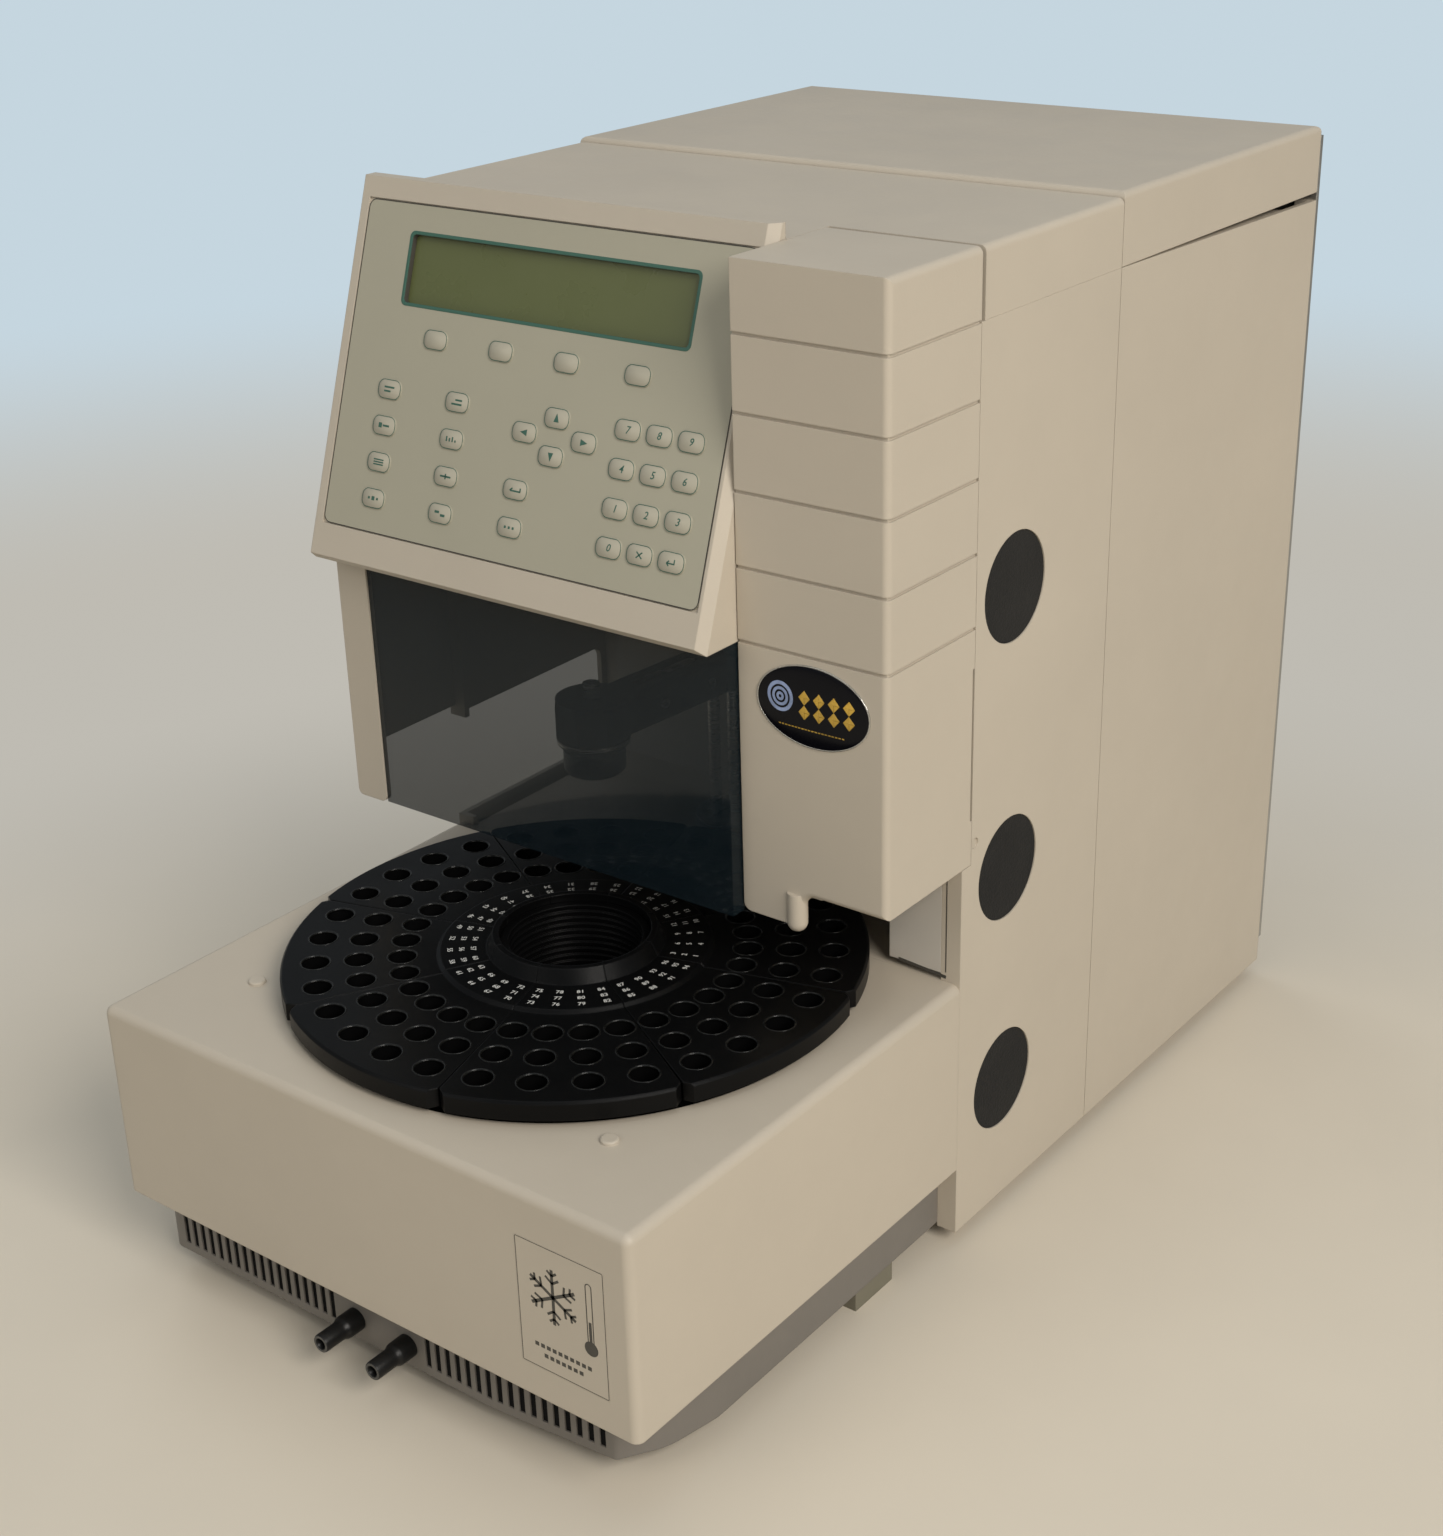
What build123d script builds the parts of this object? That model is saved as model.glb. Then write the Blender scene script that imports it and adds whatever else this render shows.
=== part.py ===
"""A bench autosampler: a cooled, turning vial tray under a needle arm, with a keypad head.

Millimetres. X runs to the right, Z up from the bench. While a piece is modelled, Y is its depth
behind the front face of the tray housing; save() then moves the origin to the middle of the footprint.
"""
import os
from math import atan2, cos, degrees, hypot, pi, radians, sin

from build123d import *

# Whole instrument
body_depth = 545.0
body_setback = 82.5
tower_rear_room = 42.0
base_clearance = 10.0
skirt_clearance = 8.0
side_top_height = 431.0
skin = 3.0
seam_gap = 0.5
running_gap = 0.3
bearing_gap = 0.05
overrun = 5.0

# Base
base_height = 32.5
base_side_inset = 10.0
base_front_depth = 12.0
base_wall = 4.0
base_floor = 3.0
base_corner = 6.0
base_bend_inset = 80.0
base_nose_inset = 17.5
base_nose_setback = 5.5
base_nose_corner = 3.0
base_cheek_inset = 5.5
base_cheek_setback = 24.0
base_side_setback = 50.0
base_side_rounding = 30.0
grille_slot_height = 24.0
grille_slot_width = 3.0
grille_left_pitch = 5.6
grille_side_inset = 10.0
grille_nozzle_gap = 5.0
grille_right_pitch = 5.75
grille_right_gap = 4.8
grille_right_inset = 4.0
foot_length = 29.0
foot_width = 20.0
foot_side_inset = 0.5
front_foot_depth = 163.0
rear_foot_inset = 45.0

# Hose nozzles
nozzle_places = (-18.5, 12.5)
nozzle_height = 20.5
nozzle_reach = 9.5
nozzle_root_length = 9.0
nozzle_root_radius = 5.4
nozzle_radius = 4.1
nozzle_bore_radius = 1.8
nozzle_shank_radius = 3.6
nozzle_shank_length = 8.0

# Tray housing and deck
housing_bottom = base_clearance + base_height
housing_height = 95.9
housing_wall = 3.5
housing_corner = 4.0
housing_flange_width = 18.0
housing_front_margin = 19.0
housing_side_margin = 22.5
stud_places = ((-109.0, 54.0), (102.0, 47.0))
stud_radius = 4.0
stud_height = 1.5

# Vial tray
segment_count = 8
tray_rest_angle = 15.0
tray_radius = 131.0
tray_overhang = 3.5
skirt_gap = 4.0
tray_rim_height = 8.6
tray_rise = 11.6
segment_height = 32.0
segment_gap_angle = 0.35
segment_inner_radius = 34.0
segment_corner = 3.5
rim_chamfer = 1.0
vial_ring_insets = (53.8, 34.5, 15.5)
vials_per_ring = 4
vial_hole_radius = 6.3
vial_hole_floor = 4.0
plateau_width = 28.0
plateau_height = 1.5
lip_width = 3.0
lip_slope = 3.0
lip_height = 8.0
turntable_height = 6.0
turntable_inset = 1.5
hub_gap = 0.5
hub_wall = 3.5
hub_recess = 4.0
hub_groove_depth = 1.0
hub_groove_width = 1.4
hub_groove_pitch = 3.2
hub_groove_count = 9

# Cooled well and its stand
well_gap = 2.0
well_flange_width = 4.5
well_wall = 3.0
well_floor = 4.0
well_drop = 6.0
foam_thickness = 5.2
foam_floor = 18.0
foam_top_gap = 1.9
stand_width = 210.0
stand_length = 84.0
stand_plate = 4.0
stand_leg_radius = 6.0
stand_leg_inset = 10.0
spindle_radius = 6.0
spindle_seat = 4.0
bearing_radius = 9.0
bearing_flange_radius = 20.0
module_side = 40.0
module_height = 4.0
module_gap = 10.0
sink_width = 120.0
sink_base = 8.0
sink_fin = 2.0
sink_fin_count = 15
sink_length = 72.0
sink_offset = 120.5

# Fans
fan_side = 80.0
fan_thickness = 25.0
fan_bore_radius = 37.0
fan_hub_radius = 14.0
fan_blade_radius = 36.0
fan_blade_count = 7
fan_blade_thickness = 1.6
fan_blade_pitch = 32.0
fan_strut = 6.0
fan_back = 3.0
fan_pin_radius = 2.5
fan_end_gap = 2.0

# Tray drive
gear_module = 1.0
gear_teeth = 90
pinion_teeth = 18
gear_height = 8.0
gear_backlash = 0.3
gear_clearance = 11.0
tray_motor_gap = 6.0
tooth_tip_share = 0.28
tooth_root_share = 0.62
addendum_share = 0.85
dedendum_share = 1.15
motor_side = 42.0
motor_height = 38.0
motor_corner = 4.0
motor_shaft_radius = 2.5
motor_shaft_depth = 24.0

# Needle tower and arm
tower_x = -32.0
swing_motor_clearance = 5.5
needle_segment = 2
needle_place = 1
port_swing = 77.0
tower_flange_radius = 20.0
tower_flange_height = 6.0
tower_shaft_radius = 4.0
tower_shaft_length = 34.0
guide_radius = 3.0
guide_spacing = 26.0
tower_head_clearance = 24.3
tower_plate = 6.0
tower_plate_width = 44.0
tower_plate_length = 35.0
lift_screw_radius = 3.0
lift_motor_side = 35.0
lift_motor_height = 32.0
lift_travel = 62.0
carriage_width = 42.0
carriage_length = 22.0
carriage_clearance = 9.0
cup_clearance = 4.6
head_radius = 17.0
head_wall = 1.8
arm_width = 25.0
arm_height = 17.0
arm_drop = 2.7
nut_gap = 0.4
foot_height = 12.0
foot_gap = 3.0
foot_radius = 14.6
foot_travel = 18.6
foot_slide_gap = 0.08
needle_radius = 1.2
needle_point_radius = 0.4
needle_point_length = 5.0
needle_tip_lift = 1.3
needle_nut_radius = 4.0
needle_nut_height = 7.0
spring_radius = 6.0
spring_wall = 2.0
spring_seat_depth = 8.0
port_radius = 9.0
port_height = 10.6
port_spigot_radius = 4.5
port_spigot_length = 20.0
port_bore_radius = 2.5
port_floor = 3.0

# Keypad head
head_rise = 36.0
head_gap = 0.5
head_setback = 26.0
head_drop = 4.5
face_length = 168.6
face_tilt = 18.9
head_wall_thickness = 3.0
head_ridge_width = 6.0
head_lip_depth = 3.0
face_bevel = 4.0
membrane_top = 9.7
membrane_left_margin = 5.0
membrane_right_margin = 6.0
membrane_bottom_margin = 13.6
membrane_thickness = 0.8
membrane_corner = 4.0
pocket_depth = 1.0
pocket_clearance = 0.4
key_rise = 0.5
display_left_margin = 28.7
display_right_margin = 26.5
display_drop = 12.8
display_height = 30.2
display_thickness = 6.0
display_margin = 3.0
board_thickness = 1.6
board_margin = 6.0
soft_key_size = (13.8, 8.7)
small_key_size = (13.8, 8.9)
key_corner = 3.6
soft_key_shares = ((0.241, 0.391), (0.419, 0.391), (0.591, 0.391), (0.77, 0.391))
function_column_shares = (0.135, 0.325)
function_row_shares = (0.56, 0.671, 0.783, 0.895)
arrow_key_shares = ((0.59, 0.551), (0.513, 0.608), (0.666, 0.605), (0.589, 0.662))
command_key_shares = ((0.513, 0.777), (0.513, 0.889))
number_column_shares = (0.768, 0.845, 0.922)
number_row_shares = (0.546, 0.657, 0.77, 0.882)

# Window and cheek
window_thickness = 2.5
window_setback = 65.0
window_clearance = 40.6
window_lap = 1.5
strip_width = 18.4
cheek_rise = 24.0
strip_thickness = 3.5

# Side panels
panel_return = 10.0
vent_setback = 38.4
vent_height_shares = (0.725, 0.4193, 0.167)
vent_radius = 24.5
vent_recess = 0.6
vent_lip = 2.5
vent_lip_thickness = 1.5
side_opening_margin = 4.0
side_opening_rise = 18.5
column_seam_setback = 7.3
side_opening_corner = 6.0
rear_panel_drop = 3.6

# Top covers
front_cover_height = 29.3
cover_corner = 3.0
ledge_width = 15.0
cover_join_setback = 2.3
lid_rise = 2.4

# Column cover and the plate behind it
column_width = 73.5
column_reach = 58.0
column_drop = 1.0
column_step_height = 15.0
column_step_width = 31.0
column_corner = 4.0
column_step_corner = 6.0
groove_drops = (29.2, 60.8, 92.9, 124.5, 156.5)
groove_width = 1.4
groove_depth = 1.0
bead_radius = 4.5
bead_lift = 1.0
bead_set = 2.5
notch_rise = 21.0
notch_height = 70.0
notch_width = 1.3
catch_setback = 2.9
catch_rise = 9.0
catch_radius = 2.5
catch_recess = 0.8
plate_leg_gap = 5.5
plate_leg_lift = 3.6
plate_top_drop = 3.0

# Syringe pump
syringe_inset = 18.5
syringe_setback = 29.0
syringe_drop = 28.0
barrel_radius = 5.0
barrel_bore = 3.0
barrel_cap = 4.0
plunger_gap = 0.05
plunger_rod_radius = 1.5
plunger_tip_length = 7.0
syringe_travel = 60.0
plunger_rod_show = 6.7
pump_carriage_height = 12.0
pump_carriage_width = 22.0
pump_screw_offset = 16.0
pump_screw_radius = 3.0
pump_motor_side = 24.0
pump_motor_clearance = 12.0
pump_motor_height = 33.0
selector_side = 24.0
selector_setback = 19.0
selector_depth = 20.0
selector_rotor_radius = 8.0
selector_rotor_length = 11.6
selector_port_radius = 1.6

# Injection valve
valve_inset = 50.5
valve_rise = 55.0
valve_setback = 17.0
valve_radius = 17.0
valve_length = 15.0
valve_recess = 6.0
rotor_radius = 12.0
rotor_shaft_radius = 4.0
rotor_shaft_length = 20.0
valve_motor_side = 34.0
valve_port_radius = 1.6
valve_port_ring = 10.0
valve_port_depth = 8.0

# Rear bay
bulkhead_thickness = 3.0
rear_panel_thickness = 2.5
rear_panel_bottom = 22.0
rear_panel_inset = 4.7
rear_fan_x = -70.0
rear_fan_drop = 101.0
grille_hole_radius = 2.3
grille_hole_pitch = 8.0
board_side_inset = 20.0
board_bottom = 60.0
board_top_drop = 31.0
board_rear_gap = 33.0
chip_height = 8.0
supply_width = 110.0
supply_height = 92.0
supply_side_inset = 10.0
supply_front_gap = 11.25
supply_rear_gap = 45.0
supply_sheet = 2.0
supply_board_lift = 8.0
can_radius = 10.0
can_height_share = 0.4
inlet_x = 95.0
inlet_height = 75.0
inlet_size = (60.0, 32.0)
inlet_flange = 2.5
inlet_body_length = 25.0
socket_size = (24.0, 17.0)
socket_depth = 16.0
socket_offset = -14.0
rocker_offset = 17.0
rocker_size = (12.0, 20.0)
rocker_depth = 9.0
rocker_gap = 0.8
rocker_swing = 8.0
rocker_pin_radius = 1.5
connector_x = -10.0
connector_heights = (200.0, 160.0, 120.0)
connector_size = (56.0, 16.0)
connector_reach = 4.0
connector_body_length = 12.0
connector_slot = (40.0, 9.0)
connector_slot_depth = 8.0
screw_bottom_inset = 23.0
screw_top_inset = 26.0
screw_head_radius = 3.5
screw_head_height = 2.0
screw_radius = 1.6
screw_hole_radius = 1.7

# Places that follow
tray_opening_radius = tray_radius - tray_overhang
half_width = tray_opening_radius + housing_side_margin
tray_depth = housing_front_margin + tray_opening_radius
body_front_depth = tray_depth + body_setback
vial_ring_radii = tuple(tray_radius - inset for inset in vial_ring_insets)
segment_skirt_radius = tray_opening_radius - skirt_gap
lip_top_radius = segment_inner_radius + lip_width
lip_base_radius = lip_top_radius + lip_slope
plateau_radius = segment_inner_radius + plateau_width
turntable_radius = segment_skirt_radius - turntable_inset
hub_radius = segment_inner_radius - hub_gap
hub_bore_radius = hub_radius - hub_wall
well_inner_radius = segment_skirt_radius + well_gap
well_outer_radius = well_inner_radius + well_wall
well_flange_radius = well_outer_radius + well_flange_width
foam_outer_radius = well_outer_radius + running_gap + foam_thickness
sink_front_depth = tray_depth - sink_offset
half_base = half_width - base_side_inset
panel_inner = half_width - skin
floor_top = base_clearance + base_floor
housing_top = housing_bottom + housing_height
deck_bottom = housing_top - housing_wall
tray_top = housing_top + tray_rise
segment_bottom = tray_top - segment_height
turntable_bottom = segment_bottom - turntable_height
well_floor_top = turntable_bottom - well_drop
well_bottom = well_floor_top - well_floor
foam_bottom = well_bottom - foam_floor
stand_bottom = foam_bottom - stand_plate
sink_top = well_bottom - module_height
gear_bottom = stand_bottom - gear_clearance - spindle_seat - gear_height
tray_motor_top = gear_bottom - tray_motor_gap
gear_radius = gear_module * gear_teeth / 2
pinion_radius = gear_module * pinion_teeth / 2
pinion_depth = tray_depth + gear_radius + pinion_radius + gear_backlash / 2
tower_depth = tray_depth + foam_outer_radius + motor_side / 2 + swing_motor_clearance
seam_depth = tower_depth + tower_rear_room
bulkhead_front = seam_depth - seam_gap / 2 - bulkhead_thickness
bulkhead_back = bulkhead_front + bulkhead_thickness
face_top_depth = body_front_depth - head_setback
face_top_height = side_top_height + head_rise
face_bottom_depth = face_top_depth - face_length * sin(radians(face_tilt))
face_bottom_height = face_top_height - face_length * cos(radians(face_tilt))
tower_flange_top = housing_top + running_gap + tower_flange_height
head_bottom = tower_flange_top + lift_travel + carriage_clearance
head_top = head_bottom - foot_gap + foot_travel + cup_clearance + head_wall
tower_plate_height = head_top + tower_head_clearance
arm_top = head_top - arm_drop
arm_bottom = arm_top - arm_height
head_bottom_height = face_bottom_height - head_drop
foot_bottom = head_bottom - foot_gap - foot_height
column_left = half_width - column_width
column_step = column_left + column_step_width
head_left = -half_width
head_right = column_left - head_gap
membrane_left = head_left + membrane_left_margin
membrane_right = head_right - membrane_right_margin
membrane_bottom = face_length - membrane_bottom_margin
display_left = membrane_left + display_left_margin
display_right = membrane_right - display_right_margin
display_top = membrane_top + display_drop
display_bottom = display_top + display_height
window_depth = body_front_depth - window_setback
window_bottom = housing_top + window_clearance
strip_right = strip_width - half_width
cheek_bottom = window_bottom + cheek_rise
side_opening_top = window_bottom + side_opening_rise
column_front_depth = body_front_depth - column_reach
column_low_bottom = window_bottom + column_drop
column_high_bottom = column_low_bottom + column_step_height
column_seam_depth = body_front_depth + column_seam_setback
cover_join_depth = column_seam_depth + cover_join_setback
catch_depth = column_seam_depth + catch_setback
catch_height = column_high_bottom + catch_rise
vent_depth = body_front_depth + vent_setback
vent_heights = tuple(side_top_height * share for share in vent_height_shares)
cover_top = side_top_height + front_cover_height
lid_top = cover_top + lid_rise
groove_heights = tuple(cover_top - drop for drop in groove_drops)
bead_x = column_step - bead_radius
bead_bottom = column_low_bottom + bead_lift
notch_bottom = column_high_bottom + notch_rise
plate_leg_left = column_step + plate_leg_gap
plate_leg_bottom = housing_top + plate_leg_lift
plate_top = side_top_height - plate_top_drop
syringe_x = column_left + syringe_inset
syringe_depth = column_front_depth + syringe_setback
syringe_top = plate_top - syringe_drop
selector_front_depth = column_front_depth + selector_setback
valve_x = column_left + valve_inset
valve_height = column_high_bottom + valve_rise
valve_front_depth = column_front_depth + valve_setback
rear_panel_top = lid_top - rear_panel_inset
rear_fan_height = side_top_height - rear_fan_drop
rear_foot_depth = body_depth - rear_foot_inset
board_x = board_side_inset - half_base
board_top = side_top_height - board_top_drop
board_end_depth = body_depth - board_rear_gap
supply_front_depth = bulkhead_back + supply_front_gap
supply_length = body_depth - supply_rear_gap - supply_front_depth
supply_left = half_base - supply_side_inset - supply_width
low_screw = rear_panel_bottom + screw_bottom_inset
high_screw = side_top_height - screw_top_inset
screw_heights = (low_screw, (low_screw + high_screw) / 2, high_screw)
column_back_depth = column_seam_depth - running_gap
plate_front = body_front_depth
plate_back = plate_front + skin
rear_face_depth = body_depth + rear_panel_thickness
rear_reach_depth = rear_face_depth + connector_reach
mid_depth = (rear_reach_depth - nozzle_reach) / 2
face_plane = Plane(
    origin=(0, face_top_depth, face_top_height),
    x_dir=(1, 0, 0),
    z_dir=(0, -cos(radians(face_tilt)), sin(radians(face_tilt))),
)


def hole_place(ring, segment, place):
    """The centre of a vial hole, counted round the tray from its rest angle."""
    share = 360 / segment_count
    turn = radians(tray_rest_angle + segment * share + (place + 0.5) * share / vials_per_ring)
    return ring * cos(turn), tray_depth + ring * sin(turn)


needle_x, needle_depth = hole_place(vial_ring_radii[0], needle_segment, needle_place)
arm_length = hypot(needle_x - tower_x, needle_depth - tower_depth)
arm_rest_angle = degrees(atan2(needle_x - tower_x, tower_depth - needle_depth))
arm_place = Pos(tower_x, tower_depth, 0) * Rot(0, 0, arm_rest_angle)


def save(name, *solids):
    """Write one named piece with the origin moved to the middle of the footprint."""
    moved = [Pos(0, -mid_depth, 0) * solid for solid in solids]
    shape = moved[0] if len(moved) == 1 else Compound(children=moved)
    export_step(shape, f"parts/{name}.step")


def block(x, y, z):
    """A box between two values on each axis."""
    return Pos(sum(x) / 2, sum(y) / 2, sum(z) / 2) * Box(x[1] - x[0], y[1] - y[0], z[1] - z[0])


def upright(x, y, z, radius):
    """A cylinder along Z."""
    return Pos(x, y, sum(z) / 2) * Cylinder(radius, z[1] - z[0])


def lengthwise(x, y, z, radius):
    """A cylinder along Y."""
    return Pos(x, sum(y) / 2, z) * Rot(90, 0, 0) * Cylinder(radius, y[1] - y[0])


def crosswise(x, y, z, radius):
    """A cylinder along X."""
    return Pos(sum(x) / 2, y, z) * Rot(0, 90, 0) * Cylinder(radius, x[1] - x[0])


def around(centre, size):
    """The two ends of a size about its centre."""
    return centre - size / 2, centre + size / 2


def turned_profile(points, angle):
    """Points of radius and height turned about Z from the X axis."""
    outline = Plane.XZ * make_face(Polyline(*[(r, z) for r, z in points], close=True))
    return revolve(outline, Axis.Z, angle)


def side_profile(points, x):
    """Points of depth and height drawn out along X."""
    outline = Plane.YZ * make_face(Polyline(*points, close=True))
    return Pos(x[0], 0, 0) * extrude(outline, x[1] - x[0])


def front_profile(points, y):
    """Points of width and height drawn out along Y."""
    outline = Plane.XZ * make_face(Polyline(*points, close=True))
    return Pos(0, y[1], 0) * extrude(outline, y[1] - y[0])


def lying_at(edges, axis, value):
    """Those edges whose middles lie at a value along an axis."""
    near = skin / 10
    return edges.filter_by_position(axis, value - near, value + near)


def edges_at(shape, axis, *limits):
    """Edges along an axis whose middles lie at every given (axis, value)."""
    found = shape.edges().filter_by(axis)
    for along, value in limits:
        found = lying_at(found, along, value)
    return found


def on_face(x, down, depth):
    """A point on the keypad face: across, down from its top edge, out along its normal."""
    return face_plane * Pos(x, -down, depth)


def face_slab(x, down, out):
    """A box in the keypad face's own directions."""
    size = Box(x[1] - x[0], down[1] - down[0], out[1] - out[0])
    return on_face(sum(x) / 2, sum(down) / 2, sum(out) / 2) * size


# Base, feet and nozzles
def base_solid(wall, z):
    """The base's plan drawn up: its front falls back to a nose at the right, and the side bends to meet it."""
    front = base_front_depth
    nose = (half_base - base_nose_inset, front + base_nose_setback)
    cheek = (half_base - base_cheek_inset, front + base_cheek_setback)
    shoulder = (half_base, front + base_side_setback)
    corner = (-half_base, front)
    bend = (half_base - base_bend_inset, front)
    rear = ((half_base, body_depth), (-half_base, body_depth))
    plan = make_face(Polyline(corner, bend, nose, cheek, shoulder, *rear, close=True))
    if wall:
        plan = offset(plan, -wall, kind=Kind.INTERSECTION)
    solid = Pos(0, 0, z[0]) * extrude(plan, z[1] - z[0])
    if wall:
        return solid
    rounded = (
        (corner, base_corner), (nose, base_nose_corner),
        (cheek, base_side_rounding), (shoulder, base_side_rounding),
    )
    for place, radius in rounded:
        solid = fillet(edges_at(solid, Axis.Z, (Axis.X, place[0]), (Axis.Y, place[1])), radius)
    return solid


def make_base():
    z = (base_clearance, base_clearance + base_height)
    shell = base_solid(0, z) - base_solid(base_wall, (floor_top, z[1] + overrun))
    slot_z = around(sum(z) / 2, grille_slot_height)
    slot_y = (base_front_depth - overrun, base_front_depth + base_nose_setback + base_wall + overrun)
    left_end = nozzle_places[0] - nozzle_root_radius - grille_nozzle_gap
    right_start = nozzle_places[1] + nozzle_root_radius + grille_right_gap
    right_end = half_base - base_nose_inset - grille_right_inset
    runs = (
        (grille_side_inset - half_base, left_end, grille_left_pitch),
        (right_start, right_end, grille_right_pitch),
    )
    slots = []
    for start, end, pitch in runs:
        for number in range(int((end - start - grille_slot_width) / pitch) + 1):
            left = start + number * pitch
            slots.append(block((left, left + grille_slot_width), slot_y, slot_z))
    for x in nozzle_places:
        slots.append(lengthwise(x, slot_y, nozzle_height, nozzle_shank_radius + bearing_gap))
    return shell - slots


def make_feet():
    outer = half_base - foot_side_inset
    feet = []
    for front in (front_foot_depth, rear_foot_depth):
        for x in ((-outer, foot_width - outer), (outer - foot_width, outer)):
            feet.append(block(x, (front, front + foot_length), (0, base_clearance)))
    return feet


def make_nozzles():
    nozzles = []
    step = base_front_depth - nozzle_root_length
    for x in nozzle_places:
        nozzle = lengthwise(x, (step, base_front_depth), nozzle_height, nozzle_root_radius)
        nozzle += lengthwise(x, (-nozzle_reach, step), nozzle_height, nozzle_radius)
        shank = (base_front_depth, base_front_depth + nozzle_shank_length)
        nozzle += lengthwise(x, shank, nozzle_height, nozzle_shank_radius)
        bore = (-nozzle_reach - overrun, shank[1] + overrun)
        nozzle -= lengthwise(x, bore, nozzle_height, nozzle_bore_radius)
        nozzles.append(nozzle)
    return nozzles


# Tray housing, deck and well
def make_housing():
    z = (housing_bottom, housing_top)
    shell = block((-half_width, half_width), (0, body_front_depth), z)
    upper = lying_at(shell.edges(), Axis.Z, housing_top)
    upper = upper.filter_by_position(Axis.Y, -overrun, body_front_depth - overrun)
    shell = fillet(upper + edges_at(shell, Axis.Z, (Axis.Y, 0)), housing_corner)
    inner = half_width - housing_wall
    far = body_front_depth + overrun
    flange_top = housing_bottom + skin
    shell -= block((-inner, inner), (housing_wall, far), (flange_top, deck_bottom))
    gap = half_width - housing_flange_width
    gap_z = (z[0] - overrun, flange_top + overrun)
    shell -= block((-gap, gap), (housing_flange_width, far), gap_z) & base_solid(base_wall, gap_z)
    shell -= upright(0, tray_depth, (z[0], z[1] + overrun), tray_opening_radius)
    for x, y in stud_places:
        stud = upright(x, y, (deck_bottom, housing_top + stud_height), stud_radius)
        rim = stud.edges().filter_by_position(Axis.Z, housing_top, tray_top)
        shell += fillet(rim, stud_height * 2 / 3)
    return shell


def port_centre():
    angle = radians(arm_rest_angle + port_swing - 90)
    return tower_x + arm_length * cos(angle), tower_depth + arm_length * sin(angle)


def make_deck():
    z = (deck_bottom, housing_top)
    deck = block((-half_base, half_base), (body_front_depth, bulkhead_front), z)
    through = (z[0] - overrun, z[1] + overrun)
    deck -= upright(0, tray_depth, through, tray_opening_radius)
    deck -= upright(*port_centre(), through, port_spigot_radius + bearing_gap)
    return deck - upright(tower_x, tower_depth, through, tower_shaft_radius + running_gap)


def make_well():
    well = upright(0, tray_depth, (well_bottom, deck_bottom), well_outer_radius)
    well += upright(0, tray_depth, (deck_bottom - skin, deck_bottom), well_flange_radius)
    well -= upright(0, tray_depth, (well_floor_top, deck_bottom + overrun), well_inner_radius)
    through = (well_bottom - overrun, deck_bottom)
    return well - upright(0, tray_depth, through, bearing_radius + bearing_gap)


def make_foam():
    top = deck_bottom - skin - foam_top_gap
    foam = upright(0, tray_depth, (foam_bottom, top), foam_outer_radius)
    pocket = well_outer_radius + running_gap
    foam -= upright(0, tray_depth, (well_bottom, top + overrun), pocket)
    foam -= upright(0, tray_depth, (foam_bottom - overrun, top), bearing_radius + bearing_gap)
    sink_x = sink_width / 2 + overrun
    back = sink_front_depth + sink_length + overrun / 2
    notch = (foam_bottom - overrun, well_bottom)
    return foam - block((-sink_x, sink_x), (tray_depth - foam_outer_radius - overrun, back), notch)


def make_stand():
    x = around(0, stand_width)
    y = around(tray_depth, stand_length)
    stand = block(x, y, (stand_bottom, foam_bottom))
    for leg_x in (x[0] + stand_leg_inset, x[1] - stand_leg_inset):
        for leg_y in (y[0] + stand_leg_inset, y[1] - stand_leg_inset):
            stand += upright(leg_x, leg_y, (floor_top, foam_bottom), stand_leg_radius)
    through = (stand_bottom - overrun, foam_bottom + overrun)
    return stand - upright(0, tray_depth, through, bearing_radius + bearing_gap)


def make_bearing():
    top = turntable_bottom - running_gap
    bearing = upright(0, tray_depth, (stand_bottom, top), bearing_radius)
    bearing += upright(0, tray_depth, (well_floor_top, top), bearing_flange_radius)
    through = (stand_bottom - overrun, top + overrun)
    return bearing - upright(0, tray_depth, through, spindle_radius + bearing_gap)


def make_modules():
    y = around(sink_front_depth + sink_length / 2, module_side)
    z = (sink_top, well_bottom)
    near = module_gap / 2
    return [block((side, side + module_side), y, z) for side in (-near - module_side, near)]


def make_sink():
    x = around(0, sink_width)
    y = (sink_front_depth, sink_front_depth + sink_length)
    sink = block(x, y, (sink_top - sink_base, sink_top))
    pitch = (sink_width - sink_fin) / (sink_fin_count - 1)
    for number in range(sink_fin_count):
        left = x[0] + number * pitch
        fin = (floor_top + fan_thickness, sink_top - sink_base)
        sink += block((left, left + sink_fin), y, fin)
    return sink


# Fans, drawn about Z with the back plate below
def fan_frame():
    frame = block(around(0, fan_side), around(0, fan_side), (0, fan_thickness))
    frame = fillet(frame.edges().filter_by(Axis.Z), fan_strut / 2)
    frame -= upright(0, 0, (-overrun, fan_thickness + overrun), fan_bore_radius)
    reach = fan_bore_radius + fan_strut / 4
    for turn in (45, 135):
        strut = block((-reach, reach), around(0, fan_strut), (0, fan_back))
        frame += Rot(0, 0, turn) * strut
    frame += upright(0, 0, (0, fan_back), fan_hub_radius)
    return frame + upright(0, 0, (0, fan_thickness - fan_back), fan_pin_radius)


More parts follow.
